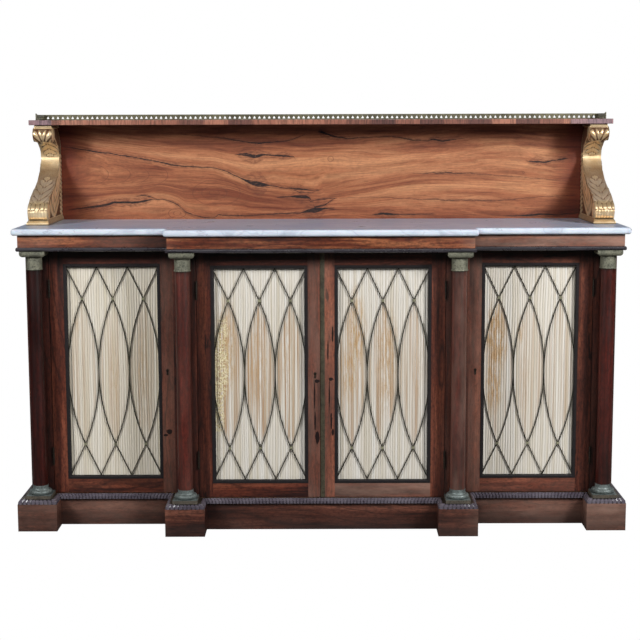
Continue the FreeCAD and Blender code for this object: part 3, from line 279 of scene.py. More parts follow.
def paint_wear_and_light(graph, where, colour, wear_and_light):
    """Along the front, paler wood here, partly sun bleaching and partly painted light, and painted shade
    there; and scuffed at the floor.
    """
    x, _, z = graph.xyz()
    amount = drawn_curve(graph, x, wear_and_light, -1.0, 2.0)
    clouds = graph.noise(where, (7, 26, 26), 4.0, 0.6)
    patch = graph.ramp(clouds, (0.36, 0.35), (0.64, 1.0))
    # Paler: partly sun bleaching, partly painted light.
    bleach_and_light = graph.times(graph.math("MAXIMUM", amount, 0.0), patch)
    colour = graph.mix(bleach_and_light, colour, srgb(172, 138, 122))
    # Darker: painted shade.
    darkened = graph.math("MAXIMUM", graph.times(amount, -1.0), 0.0)
    colour = graph.mix(darkened, colour, srgb(12, 5, 4))
    scuffed = graph.times(graph.ramp(z, (0.0, 0.7), (SCUFF_HEIGHT, 0.0)), patch)
    return graph.mix(scuffed, colour, srgb(62, 54, 52))


def scar(graph, colour, scars):
    """Black ragged places in the wood: (x, z, half width, half height)."""
    x, _, z = graph.xyz()
    ragged = graph.noise(graph.join(x, 0.0, z), (95, 1, 42), 5.0, 0.65, shift=(2, 0, 6))
    total = 0.0
    for place in scars:
        away = graph.ellipse(x, z, *place)
        total = graph.math("MAXIMUM", graph.minus(1.25, away), total)
    torn = graph.minus(graph.plus(total, graph.times(ragged, 3.0)), 1.90)
    near = graph.math("GREATER_THAN", total, 0.0)
    amount = graph.times(graph.times(torn, 5.0, True), near)
    return graph.mix(amount, colour, FIGURE_BLACK)


def draw_figure(graph, g, b, colour):
    """The lines and rings of the back panel, in nearly black, with a stain beside each line, and painted
    shade of the consoles at both ends.
    """
    flat = graph.join(g, 0.0, b)
    shake = graph.noise(flat, (26, 1, 48), 3.0, 0.55)
    height = graph.plus(b, graph.times(graph.minus(shake, 0.5), LINE_SHAKE))
    total, stained = 0.0, 0.0
    for strokes in BACK_FIGURE:
        middles, widths = [], []
        for stroke in strokes:
            middles += [(x, z * MM) for x, z, _ in stroke]
            widths.append((stroke[0][0] - LINE_TAPER, 0.0))
            widths += [(x, half_width * MM) for x, _, half_width in stroke]
            widths.append((stroke[-1][0] + LINE_TAPER, 0.0))
        middle = drawn_curve(graph, g, middles, FIGURE_FOOT, FIGURE_HEIGHT)
        width = graph.times(drawn_curve(graph, g, widths, 0.0, WIDEST_LINE), 1.6)
        off = graph.math("ABSOLUTE", graph.minus(height, middle))
        inside = graph.over(graph.minus(width, off), LINE_EDGE)
        total = graph.math("MAXIMUM", graph.math("MINIMUM", inside, 1.0), total)
        near = graph.over(graph.minus(graph.times(width, 5.0), off), STAIN_EDGE, True)
        stained = graph.math("MAXIMUM", near, stained)
    gaps = graph.noise(flat, (70, 1, 210), 3.0, 0.6, shift=(4, 0, 0))
    strength = graph.ramp(gaps, (0.34, 0.7), (0.48, 1.0))
    cloudy = graph.ramp(gaps, (0.36, 0.05), (0.62, 0.65))
    colour = graph.mix(graph.times(stained, cloudy), colour, srgb(96, 52, 38))
    colour = graph.mix(graph.times(total, strength), colour, srgb(34, 22, 22))
    colour = graph.mix(graph.times(draw_eyes(graph, g, height), 0.6), colour, srgb(96, 54, 40))
    # Painted shade of the consoles on both ends of the panel.
    from_middle = graph.math("ABSOLUTE", g)
    return graph.shade(colour, graph.ramp(from_middle, (0.715, 1.0), (0.80, CORNER_SHADE)))


def draw_eyes(graph, g, height):
    """Where the rings lie."""
    rings = 0.0
    for x, z, half_x, half_z, left_side in BACK_EYES:
        away = graph.math("SQRT", graph.ellipse(g, height, x, z, half_x, half_z))
        off = graph.math("ABSOLUTE", graph.minus(away, 1.0))
        ring = graph.ramp(off, (0.0, 1.0), (RING_WIDTH / half_x, 0.0))
        if not left_side:
            beside = graph.over(graph.minus(g, x * MM), half_x * MM)
            ring = graph.times(ring, graph.ramp(beside, (0.1, 0.0), (0.6, 1.0)))
        rings = graph.math("MAXIMUM", ring, rings)
    return rings


def crossbanding():
    """Short upright lengths of veneer on the edge of the shelf, greyer at its ends."""
    graph = Graph("crossbanded_edge")
    x, _, z = graph.xyz()
    number = graph.math("FLOOR", graph.over(graph.plus(x, VENEER_START), VENEER_LENGTH))
    made = graph.node("ShaderNodeTexWhiteNoise")
    made.noise_dimensions = "1D"
    graph.put(made.inputs["W"], number)
    colour = graph.ramp(made.outputs["Value"], (0.0, srgb(96, 60, 54)), (0.3, srgb(132, 84, 70)),
                        (0.6, srgb(166, 106, 84)), (1.0, srgb(186, 128, 104)))
    grey = graph.math("GREATER_THAN", graph.math("ABSOLUTE", graph.plus(x, 0.03)), 0.80)
    colour = graph.mix(graph.times(grey, 0.7), colour, srgb(146, 122, 132))
    upright = graph.noise(graph.join(x, 0.0, z), (240, 1, 20), 3.0, 0.7)
    colour = graph.shade(colour, graph.ramp(upright, (0.36, 0.35), (0.56, 1.0)))
    return graph.set(Base_Color=colour, Roughness=0.45, Normal=graph.bump(upright, 0.2, 0.0003))


def carcass_wood(name, grain, seed):
    """Plain softwood for what hides inside and behind."""
    graph = Graph(name)
    g, a, b = along(graph, grain)
    straight = graph.join(g, a, b)
    rings = graph.noise(straight, (1.5, 30, 30), 4.0, 0.6, shift=(seed, 0, 0))
    fine = graph.noise(straight, (10, 320, 320), 3.0, shift=(seed, 0, 0))
    colour = graph.ramp(rings, (0.3, srgb(92, 62, 40)), (0.55, srgb(132, 96, 62)),
                        (0.75, srgb(150, 114, 78)))
    colour = graph.shade(colour, graph.ramp(fine, (0.3, 0.7), (0.65, 1.0)))
    dirt = graph.noise(straight, (3, 4, 4), 4.0, shift=(seed, 5, 0))
    colour = graph.mix(graph.ramp(dirt, (0.45, 0.0), (0.75, 0.5)), colour, srgb(52, 36, 26))
    return graph.set(Base_Color=colour, Roughness=0.72, Normal=graph.bump(fine, 0.3, 0.0004))


def ebonised(name, shade):
    """Dark moulding with a cool shine, dust on it and painted shade in its gaps."""
    graph = Graph(name)
    where = graph.place()
    cloud = graph.noise(where, (14, 14, 30), 4.0, 0.6)
    fine = graph.noise(where, (300, 300, 300), 2.0)
    colour = graph.ramp(cloud, (0.3, srgb(84 * shade, 76 * shade, 88 * shade)),
                        (0.7, srgb(122 * shade, 114 * shade, 126 * shade)))
    # Painted shade in the gaps between the reeds.
    colour = graph.grime_and_shade(colour, 0.005, 0.02, 0.62)
    rough = graph.ramp(cloud, (0.3, 0.22), (0.7, 0.34))
    return graph.set(Base_Color=colour, Roughness=rough, Specular_IOR_Level=0.8,
                     Normal=graph.bump(fine, 0.1, 0.0003))


def metal(name, tones, roughness, grime_and_shade, metallic):
    """Old metal: a bright, a dull and a dark colour in patches, with scratches and dark spots of dirt."""
    bright, dull, dark = (srgb(*tone) for tone in tones)
    graph = Graph(name)
    where = graph.place()
    cloud = graph.noise(where, (38, 38, 38), 5.0, 0.65)
    spots = graph.noise(where, (210, 210, 210), 3.0, 0.6)
    colour = graph.ramp(cloud, (0.36, dull), (0.62, bright))
    amount = graph.times(graph.ramp(spots, (0.50, 0.0), (0.68, 1.0)), grime_and_shade)
    colour = graph.mix(amount, colour, dark)
    rough = graph.ramp(cloud, (0.3, roughness + 0.16), (0.7, roughness - 0.06))
    return graph.set(Base_Color=colour, Metallic=metallic, Roughness=rough,
                     Normal=graph.bump(spots, 0.22, 0.0003))


def attribute(graph, name):
    """A number that the mesh holds at each of its points."""
    made = graph.node("ShaderNodeAttribute")
    made.attribute_name = name
    return made.outputs["Fac"]


def gilding():
    """Gold leaf on carved wood: bright on the high parts, brown with dirt and painted shade in the
    hollows, and greyer on the lower leaf, partly where the gold has gone thin and partly as painted
    shade.
    """
    graph = Graph("water_gilding")
    where = graph.place()
    cloud = graph.noise(where, (30, 30, 30), 4.0, 0.6)
    speck = graph.noise(where, (420, 420, 420), 2.0, 0.6)
    colour = graph.ramp(cloud, (0.30, srgb(222, 188, 138)), (0.70, srgb(250, 226, 184)))
    right_end = graph.math("GREATER_THAN", graph.split(where)[0], 0.0)
    colour = graph.mix(graph.times(right_end, 0.22), colour, srgb(150, 108, 72))
    # Greyer on the lower leaf: gold gone thin, and painted shade as well.
    rubbed_and_shaded = graph.times(attribute(graph, "rubbed_and_shaded"), graph.ramp(cloud, (0.3, 0.65), (0.6, 0.9)))
    colour = graph.mix(rubbed_and_shaded, colour, srgb(166, 146, 128))
    # Brown in the hollows: dirt and painted shade.
    grain = graph.times(graph.minus(speck, 0.5), 0.4)
    hollow_and_shade = graph.plus(attribute(graph, "carved"), grain)
    colour = graph.mix(graph.ramp(hollow_and_shade, (0.25, 0.0), (0.85, 1.0)), colour, srgb(92, 56, 32))
    # Painted shade in the creases.
    colour = graph.grime_and_shade(colour, 0.010, 0.22, 0.40)
    rough = graph.ramp(hollow_and_shade, (0.1, 0.34), (0.9, 0.65))
    leaf = graph.ramp(hollow_and_shade, (0.3, 0.62), (1.0, 0.2))
    gold = graph.minus(leaf, graph.times(rubbed_and_shaded, 0.5), True)
    return graph.set(Base_Color=colour, Metallic=gold, Roughness=rough,
                     Normal=graph.bump(speck, 0.12, 0.0004))


def marble():
    """White marble, clouded with grey and crossed by soft veins, with a painted reflection on its top
    face.
    """
    graph = Graph("veined_marble")
    where = graph.place()
    slow = graph.noise(where, (2.4, 4.2, 4.2), 4.0, 0.6, 0.6)
    cloud = graph.noise(where, (9, 13, 13), 6.0, 0.65, 0.9)
    colour = graph.ramp(cloud, (0.34, srgb(188, 197, 212)), (0.50, srgb(208, 217, 229)),
                        (0.70, srgb(220, 228, 238)))
    soft = graph.contour(slow, 7.0, 0.08)
    crossing = graph.noise(where, (3.3, 6.0, 6.0), 5.0, 0.6, 1.2, shift=(5, 1, 0))
    sharp = graph.contour(crossing, 5.0, 0.03)
    colour = graph.mix(graph.times(soft, 0.35), colour, srgb(162, 168, 186))
    colour = graph.mix(graph.times(sharp, 0.5), colour, srgb(128, 132, 148))
    # A painted reflection: the top face made greyer and bluer.
    made = graph.node("ShaderNodeNewGeometry")
    up = graph.math("GREATER_THAN", graph.split(made.outputs["Normal"])[2], 0.9)
    top_reflection = graph.mix(graph.ramp(slow, (0.35, 0.55), (0.65, 0.85)), colour, srgb(164, 176, 204))
    colour = graph.mix(up, colour, top_reflection)
    rough = graph.ramp(cloud, (0.3, 0.36), (0.7, 0.26))
    return graph.set(Base_Color=colour, Roughness=rough, Specular_IOR_Level=0.3, Subsurface_Weight=0.08,
                     Subsurface_Scale=0.004)


def silk(name, seed, warmth, stains, frayed):
    """Cream silk with a ribbed weave, browned in streaks where the light falls through the grille.

    stains and frayed are (x, z, half width, half height, amount). The mesh says how deep a
    place lies in a pleat, for painted shade in the valleys, and how much it has aged.
    """
    graph = Graph(name)
    x, _, z = graph.xyz()
    where = graph.join(x, 0.0, z)
    weave = graph.noise(where, (1400, 1, 2600), 1.0)
    drop = graph.noise(where, (90, 1, 1.2), 2.0, 0.6, shift=(seed, 0, 0))
    colour = graph.ramp(drop, (0.34, srgb(208, 200, 183)), (0.50, srgb(220, 214, 203)),
                        (0.66, srgb(229, 226, 219)))
    colour = graph.mix(warmth, colour, srgb(226, 212, 178))
    lines = graph.noise(where, (150, 1, 1.6), 2.0, 0.6, shift=(seed, 0, 5))
    brown = graph.times(graph.ramp(lines, (0.44, 0.0), (0.60, 1.0)), attribute(graph, "aged"))
    colour = graph.mix(brown, colour, srgb(172, 138, 104))
    # Painted shade in the valleys of the pleats.
    deep = graph.ramp(attribute(graph, "fold"), (0.30, 0.0), (1.0, 0.56))
    colour = graph.mix(deep, colour, srgb(148, 133, 112))

    ragged = graph.noise(where, (150, 1, 20), 5.0, 0.7, shift=(seed, 0, 2))
    reached = graph.ramp(ragged, (0.42, 0.0), (0.58, 1.0))
    soaked = graph.times(spread_over(graph, x, z, stains), reached, True)
    colour = graph.mix(graph.times(soaked, 0.8), colour, srgb(184, 146, 96))
    spots = graph.noise(where, (330, 1, 210), 3.0, 0.7, shift=(seed, 0, 4))
    amount = graph.times(soaked, graph.ramp(spots, (0.58, 0.0), (0.64, 0.8)))
    colour = graph.mix(amount, colour, srgb(112, 74, 38))
    if frayed:
        threads = graph.noise(where, (260, 1, 200), 4.0, 0.75)
        shred = graph.ramp(threads, (0.36, srgb(84, 62, 40)), (0.44, srgb(190, 168, 122)),
                           (0.52, srgb(228, 217, 178)), (0.62, srgb(240, 234, 212)))
        clumps = graph.noise(where, (110, 1, 90), 4.0, 0.7, shift=(3, 0, 1))
        loose = graph.ramp(clumps, (0.44, 0.0), (0.52, 1.5))
        colour = graph.mix(graph.times(spread_over(graph, x, z, frayed), loose, True), colour, shred)
    return graph.set(Base_Color=colour, Roughness=0.7, Specular_IOR_Level=0.25,
                     Normal=graph.bump(weave, 0.15, 0.0002))


def spread_over(graph, x, z, places):
    """Soft ellipses (x, z, half width, half height, amount), the strongest where they overlap."""
    total = 0.0
    for *place, amount in places:
        away = graph.ellipse(x, z, *place)
        total = graph.math("MAXIMUM", graph.times(graph.minus(1.0, away, True), amount), total)
    return total


# ---- materials

SCUFF_HEIGHT = 45 * MM
VENEER_START, VENEER_LENGTH = 7.021, 74 * MM
FIGURE_FOOT, FIGURE_HEIGHT = 0.9, 0.35
LINE_SHAKE, LINE_EDGE, WIDEST_LINE, STAIN_EDGE = 9 * MM, 0.9 * MM, 10 * MM, 5 * MM
LINE_TAPER, RING_WIDTH = 7, 2.2
# The long lines that bend the grain: (which row of BACK_FIGURE, its level, how far it reaches)
GRAIN_BENDS = ((0, 1.07, 0.10), (2, 0.94, 0.06))
# Painted shade at the ends of the back panel, beside the consoles.
CORNER_SHADE = (0.46, 0.26, 0.22, 1)

# The tables are in millimetres. Lines of the back panel: (x, z, half width).
BACK_FIGURE = ((
    ((-825, 1148, 0.6), (-762, 1139, 1.1), (-730, 1132, 1.3), (-651, 1122, 1.0), (-565, 1108, 1.3),
     (-473, 1088, 1.5), (-394, 1081, 0.9), (-341, 1079, 0.9), (-295, 1064, 1.0), (-249, 1043, 1.3),
     (-223, 1031, 4.6), (-193, 1025, 5.6), (-166, 1023, 1.3), (-104, 1013, 1.0), (-70, 1010, 2.3),
     (-37, 1008, 1.0), (-6, 1006, 0.6)),
    ((295, 1059, 0.4), (361, 1061, 0.9), (394, 1061, 1.3), (467, 1059, 0.8), (560, 1054, 0.5),
     (692, 1042, 0.5), (824, 1032, 0.4)),
), (
    ((-445, 1186, 0.4), (-366, 1178, 0.6), (-300, 1171, 1.0), (-235, 1159, 1.3), (-195, 1157, 1.7),
     (-162, 1160, 1.2), (-103, 1164, 1.0), (-70, 1177, 0.7), (-50, 1185, 0.4)),
    ((-2, 1193, 2.6), (31, 1180, 2.0), (84, 1170, 1.0), (163, 1175, 0.7), (229, 1177, 0.7),
     (281, 1168, 1.3), (301, 1165, 1.3), (334, 1162, 0.7), (360, 1168, 1.7), (387, 1162, 1.7),
     (420, 1166, 0.7), (466, 1174, 0.4)),
    ((655, 1097, 0.4), (684, 1096, 2.0), (717, 1094, 1.7), (744, 1101, 1.0), (773, 1104, 1.7),
     (790, 1104, 0.4)),
), (
    ((-807, 947, 0.6), (-761, 951, 1.3), (-701, 959, 3.0), (-661, 969, 2.0), (-608, 969, 2.3),
     (-561, 974, 2.0), (-541, 979, 0.9), (-508, 979, 0.8), (-482, 972, 1.0), (-455, 959, 1.2),
     (-436, 939, 1.0), (-396, 923, 0.9), (-343, 918, 1.0), (-333, 928, 0.9), (-277, 925, 1.2),
     (-237, 926, 1.0), (-170, 931, 0.9), (-84, 933, 1.0), (-58, 936, 1.2), (-38, 941, 4.0),
     (-18, 943, 5.3), (-1, 946, 3.6), (18, 949, 1.2), (44, 947, 0.8)),
    ((163, 927, 0.4), (197, 932, 2.3), (223, 929, 2.6), (250, 927, 1.0), (362, 929, 0.8)),
    ((588, 923, 0.4), (654, 924, 1.7), (707, 928, 2.0), (760, 926, 1.3), (826, 933, 0.8)),
), (
    ((-274, 1122, 0.4), (-242, 1121, 3.3), (-209, 1115, 3.6), (-182, 1120, 2.0), (-149, 1117, 1.3),
     (-110, 1116, 2.3), (-83, 1113, 0.4)),
    ((-38, 970, 0.7), (-4, 978, 1.0), (11, 978, 1.0), (47, 982, 0.7)),
    ((64, 981, 0.4), (183, 984, 0.5), (309, 977, 0.6), (514, 972, 0.9), (561, 972, 0.7),
     (693, 983, 0.5), (818, 990, 0.4)),
), (
    ((-597, 989, 0.4), (-567, 991, 1.3), (-541, 986, 1.0), (-525, 979, 0.4)),
    ((-144, 985, 0.4), (-124, 986, 1.3), (-100, 986, 1.0), (-74, 987, 3.6), (-48, 985, 3.3),
     (-31, 979, 0.4)),
    ((-22, 952, 1.5), (11, 959, 1.7), (28, 970, 1.0), (47, 982, 0.6)),
), (
    ((-97, 1010, 0.4), (-71, 1001, 1.0), (-38, 998, 0.8), (-6, 1006, 0.4)),
))
# Rings there: (x, z, half width, half height, left side shows)
BACK_EYES = (
    (-758, 1059, 78, 36, False), (-730, 1059, 120, 40, False), (-710, 1057, 160, 46, False),
    (-690, 1056, 200, 52, False), (-342, 999, 16, 9, True), (-342, 999, 40, 21, True),
    (-335, 999, 76, 41, True), (-462, 934, 28, 16, True), (-462, 934, 12, 7, True),
    (31, 1106, 9, 9, True), (647, 1061, 3, 3, True),
)

# (x, how much the wood is paled, partly by the sun and partly as painted light, or given painted shade
# below zero)
STILES_WEAR_AND_LIGHT = ((-900, -0.15), (-600, 0.05), (-500, 0.22), (-430, 0.32), (-380, -0.25), (-320, -0.2),
               (-200, 0.05), (-60, 0.30), (0, 0.26), (80, 0.10), (200, 0.0), (360, 0.05), (420, 0.34),
               (480, 0.40), (600, 0.10), (760, -0.30), (900, -0.45))
RAILS_WEAR_AND_LIGHT = ((-900, -0.3), (-450, -0.2), (-350, -0.15), (-40, -0.02), (40, 0.50), (350, 0.62),
              (450, 0.10), (900, 0.12))
FRIEZE_WEAR_AND_LIGHT = ((-900, 0.25), (-450, 0.12), (-400, 0.0), (-300, -0.20), (300, -0.08), (400, 0.05),
               (450, 0.55), (900, 0.70))
COLUMNS_WEAR_AND_LIGHT = ((-900, -0.5), (-700, -0.4), (-420, 0.08), (300, 0.10), (440, 0.30), (600, 0.2),
                (750, 0.0), (900, 0.04))
PLINTH_WEAR_AND_LIGHT = ((-900, 0.30), (-780, 0.30), (-720, 0.38), (-500, 0.36), (-420, -0.18), (-300, 0.04),
               (300, 0.04), (420, 0.08), (500, 0.45), (720, 0.45), (800, 0.60), (900, 0.60))
POSTS_WEAR_AND_LIGHT = ((-900, 0.0), (-450, 0.05), (0, 0.05), (350, 0.15), (550, 0.22), (900, 0.05))

# (x, z, half width, half height)
STILE_SCARS = (
    (-464, 290, 10, 9), (-474, 279, 8, 4), (-20, 410, 2.6, 50), (-19, 335, 3, 30), (-12, 285, 8, 22),
    (-12, 456, 9, 6), (24, 410, 2.4, 50), (30, 335, 3, 30), (34, 300, 4, 12), (30, 462, 8, 5),
    (20, 550, 2.4, 35), (34, 600, 3, 30),
)

# the dark, the middle and the light colour
PANEL_TONES = ((126, 66, 42), (170, 105, 70), (200, 138, 96))
FRIEZE_TONES = ((32, 11, 7), (112, 52, 31), (194, 122, 80))
DOOR_TONES = ((46, 17, 12), (108, 52, 36), (150, 84, 60))
POST_TONES = ((42, 15, 11), (92, 41, 29), (128, 68, 48))
COLUMN_TONES = ((36, 8, 7), (71, 20, 14), (98, 33, 24))
PLINTH_TONES = ((56, 25, 18), (100, 55, 42), (136, 84, 66))
SHELF_TONES = ((78, 44, 40), (128, 82, 72), (160, 112, 100))
BLOCK_TOP_TONES = ((60, 54, 46), (92, 84, 70), (118, 110, 92))

# (height of the ledge above, how far down its painted shadow reaches, the share of light right under it)
FRIEZE_UNDER = (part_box("frieze")[1].z, 7 * MM, 0.12)
DOORS_UNDER = (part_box("door_left_frame")[1].z, 52 * MM, 0.10)
SHAFTS_UNDER = (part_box("column_shafts")[1].z, 16 * MM, 0.40)

panel_wood = rosewood("back_panel", "x", PANEL_TONES, 1.0, lines=0.12, blots=0.0, warp=0.09,
                      roughness=0.5, drawn=True)
frieze_wood = rosewood("frieze", "x", FRIEZE_TONES, 2.3, lines=0.9, blots=0.7, wear_and_light=FRIEZE_WEAR_AND_LIGHT,
                       under=FRIEZE_UNDER)
frieze_end_wood = rosewood("frieze_ends", "y", FRIEZE_TONES, 2.9, lines=0.7, blots=0.4,
                           under=FRIEZE_UNDER)
shelf_wood = rosewood("shelf", "x", SHELF_TONES, 3.1, lines=0.5, blots=0.3)
stile_wood = rosewood("stiles", "z", DOOR_TONES, 4.2, lines=0.8, blots=0.9, wear_and_light=STILES_WEAR_AND_LIGHT,
                      under=DOORS_UNDER, scars=STILE_SCARS)
low_rail_wood = rosewood("low_rails", "x", DOOR_TONES, 5.7, lines=0.7, blots=0.8, wear_and_light=RAILS_WEAR_AND_LIGHT)
top_rail_wood = rosewood("top_rails", "x", DOOR_TONES, 6.9, lines=0.7, blots=0.8, under=DOORS_UNDER)
post_wood = rosewood("posts", "z", POST_TONES, 6.4, lines=0.8, blots=0.8, wear_and_light=POSTS_WEAR_AND_LIGHT,
                     under=DOORS_UNDER)
end_wood = rosewood("ends", "z", POST_TONES, 9.4, lines=0.7, blots=0.6)
column_wood = rosewood("columns", "z", COLUMN_TONES, 7.5, lines=0.3, blots=0.4, warp=0.02,
                       roughness=0.36, wear_and_light=COLUMNS_WEAR_AND_LIGHT, under=SHAFTS_UNDER)
plinth_wood = rosewood("plinth", "x", PLINTH_TONES, 8.1, lines=0.6, blots=0.5, wear_and_light=PLINTH_WEAR_AND_LIGHT)
block_top_wood = rosewood("block_tops", "x", BLOCK_TOP_TONES, 1.9, lines=0.5, blots=0.4)
banding = crossbanding()
plain_x = carcass_wood("deal_lengthwise", "x", 1.0)
plain_y = carcass_wood("deal_crosswise", "y", 2.0)
plain_z = carcass_wood("deal_upright", "z", 3.0)

# name: bright, dull and dark colour, roughness, grime, how metallic it still looks
METALS = {
    "bronzed_brass": (((70, 66, 52), (46, 43, 36), (20, 18, 16)), 0.5, 0.6, 0.5),
    "blackened_brass": (((38, 33, 34), (27, 23, 25), (12, 10, 11)), 0.5, 0.5, 0.4),
    "pale_collar_fronts": (((170, 168, 140), (120, 118, 96), (40, 38, 30)), 0.5, 0.5, 0.4),
    "olive_brass": (((116, 112, 88), (84, 80, 62), (38, 35, 26)), 0.45, 0.5, 0.5),
    "olive_astragal": (((86, 80, 62), (62, 57, 44), (30, 27, 20)), 0.5, 0.5, 0.4),
    "verdigris_capitals": (((132, 131, 113), (96, 97, 84), (46, 47, 40)), 0.5, 0.8, 0.3),
    "verdigris_bases": (((128, 138, 136), (92, 100, 98), (46, 50, 46)), 0.45, 0.6, 0.35),
    "worn_brown_brass": (((96, 88, 76), (70, 64, 56), (36, 32, 27)), 0.55, 0.7, 0.15),
    "dull_brass": (((104, 86, 52), (70, 58, 38), (34, 27, 19)), 0.45, 0.5, 0.6),
    "blackened_locks": (((58, 50, 40), (38, 33, 28), (16, 14, 12)), 0.5, 0.5, 0.5),
}
metals = {name: metal(name, *finish) for name, finish in METALS.items()}
gold = gilding()


# ---- dressing the CAD nodes

DOORS = {
    "door_left": "left_door", "door_middle_left": "middle_left_door",
    "door_middle_right": "middle_right_door", "door_right": "right_door",
}
TOUCH = 0.01 * MM
COLLAR_DEPTH = 0.1 * MM
BASE_SQUARE_HEIGHT = 8.5 * MM
SHARP_DEGREES = 35


def dress(name, *materials):
    """Take the CAD node's materials away and give it these."""
    mesh = nodes[name].data
    mesh.materials.clear()
    for material in materials:
        mesh.materials.append(material)
    return mesh


def dress_by(name, materials, choose):
    """Give each face of a CAD node one of the materials, by its middle and normal."""
    mesh = dress(name, *materials)
    for face in mesh.polygons:
        face.material_index = int(choose(face.center, face.normal))


def dress_door(door):
    low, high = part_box(f"{door}_moulding")
    middle = (low + high) / 2
    half_opening = (high.x - low.x) / 2 + TOUCH
    grille_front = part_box(f"{door}_grille")[0].y

    def frame_member(centre, _):
        """0 for a stile, 1 for the low rail and 2 for the top one."""
        if abs(centre.x - middle.x) >= half_opening:
            return 0
        return 2 if centre.z > middle.z else 1

    dress_by(f"{door}_frame", (stile_wood, low_rail_wood, top_rail_wood), frame_member)
    # The front faces of the collars get the pale brass.
    dress_by(f"{door}_grille", (metals["bronzed_brass"], metals["pale_collar_fronts"]),
             lambda centre, normal: centre.y < grille_front + COLLAR_DEPTH and normal.y < -0.5)
    dress(f"{door}_moulding", metals["blackened_brass"])
    dress(f"{door}_stretcher", plain_x)
    dress(f"{door}_hinges", metals["blackened_locks"])
    if f"{door}_lock" in nodes:
        dress(f"{door}_lock", metals["blackened_locks"])
        dress(f"{door}_bolt", metals["dull_brass"])


def smooth(mesh, degrees=SHARP_DEGREES):
    """Round what is round and keep the edges, by the angle between faces."""
    mesh.polygons.foreach_set("use_smooth", [True] * len(mesh.polygons))
    mesh.set_sharp_from_angle(angle=math.radians(degrees))


for door in DOORS:
    dress_door(door)
WHOLE_NODES = (
    (metals["dull_brass"], "slip_bolt_top", "slip_bolt_low", "slip_bolt_guides"),
    (metals["blackened_locks"], "hinges_case"), (metals["olive_astragal"], "astragal"),
    (metals["olive_brass"], "gallery"), (metals["verdigris_capitals"], "column_capitals"),
    (column_wood, "column_shafts"), (post_wood, "front_posts"), (plinth_wood, "plinth_front_rails"),
    (end_wood, "end_panel_left", "end_panel_right"), (marble(), "marble_top"),
    (ebonised("ebonised_moulding", 0.84), "reeded_moulding"),
    (ebonised("ebonised_bead", 0.46), "frieze_bead"),
    (plain_x, "plinth_back_rails", "bottom_board", "soffit_board", "inner_shelves"),
    (plain_y, "shelf_bearers"), (plain_z, "partition_left", "partition_right", "back_boards"),
)
for material, *names in WHOLE_NODES:
    for name in names:
        dress(name, material)
square_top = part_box("column_bases")[0].z + BASE_SQUARE_HEIGHT
dress_by("column_bases", (metals["verdigris_bases"], metals["worn_brown_brass"]),
         lambda centre, _: centre.z < square_top)
dress_by("plinth_blocks", (plinth_wood, block_top_wood), lambda _, normal: normal.z > 0.9)
dress_by("back_panel", (panel_wood, plain_x), lambda _, normal: normal.y > 0.5)
dress_by("upper_shelf", (shelf_wood, banding), lambda _, normal: abs(normal.z) < 0.7)
dress_by("frieze", (frieze_wood, frieze_end_wood), lambda _, normal: abs(normal.x) > 0.5)
for cad in nodes.values():
    smooth(cad.data)


def new_object(name, data):
    made = bpy.data.objects.new(name, data)
    bpy.context.scene.collection.objects.link(made)
    return made


def hold(mesh, name, values):
    """Keep a number at each point of the mesh, for its material to read."""
    layer = mesh.attributes.new(name, "FLOAT", "POINT")
    layer.data.foreach_set("value", np.asarray(values, np.float32).ravel())


def unit(values):
    """The values, kept between 0 and 1."""
    return np.clip(values, 0, 1)


# ---- pleated silk

# (x, z, half width, half height, amount)
STAINS = {
    "door_left": ((-740, 620, 12, 30, 0.5), (-545, 450, 22, 200, 0.5), (-630, 450, 22, 160, 0.35)),
    "door_middle_left": ((-285, 560, 40, 170, 1.1), (-190, 500, 40, 200, 0.6),
        (-100, 520, 25, 160, 0.5)),
    "door_middle_right": ((105, 600, 38, 150, 1.1), (85, 480, 35, 100, 1.0), (195, 520, 40, 200, 0.9),
        (205, 600, 28, 70, 0.9), (290, 500, 20, 140, 0.4)),
    "door_right": ((530, 570, 40, 130, 1.6), (525, 430, 32, 100, 1.3), (605, 600, 14, 50, 0.8),
        (620, 450, 20, 140, 0.3)),
}
FRAYED = {
    "door_middle_left": ((-318, 440, 30, 170, 1.5), (-300, 500, 26, 120, 1.1), (-294, 610, 20, 50, 0.8),
        (-310, 340, 22, 60, 1.0)),
}
WARMTH = {"door_left": 0.24, "door_middle_left": 0.04, "door_middle_right": 0.0, "door_right": 0.08}
AGED = {"door_left": 0.45, "door_middle_left": 0.9, "door_middle_right": 0.75, "door_right": 0.5}

BOW_SPACING, BOW_HALF_HEIGHT, BOW_EDGE = 92.5 * MM, 225 * MM, 8 * MM
PLEATS, STEPS_PER_PLEAT, ROWS = 38, 8, 46
PLEAT_WIDTHS, PLEAT_DEPTHS, PLEAT_LEANS = (6.2, 8.8), (0.62, 1.0), (0.36, 0.64)
PLEAT_FILLS, FULL_AT_ENDS, FULLNESS_RISE = 0.75, 0.35, 6
SILK_INSET, SWAY, SWAY_FREE = 0.05 * MM, 1.0 * MM, 20 * MM
SILK_SHARP_DEGREES = 80
FIRST_SEED = 3


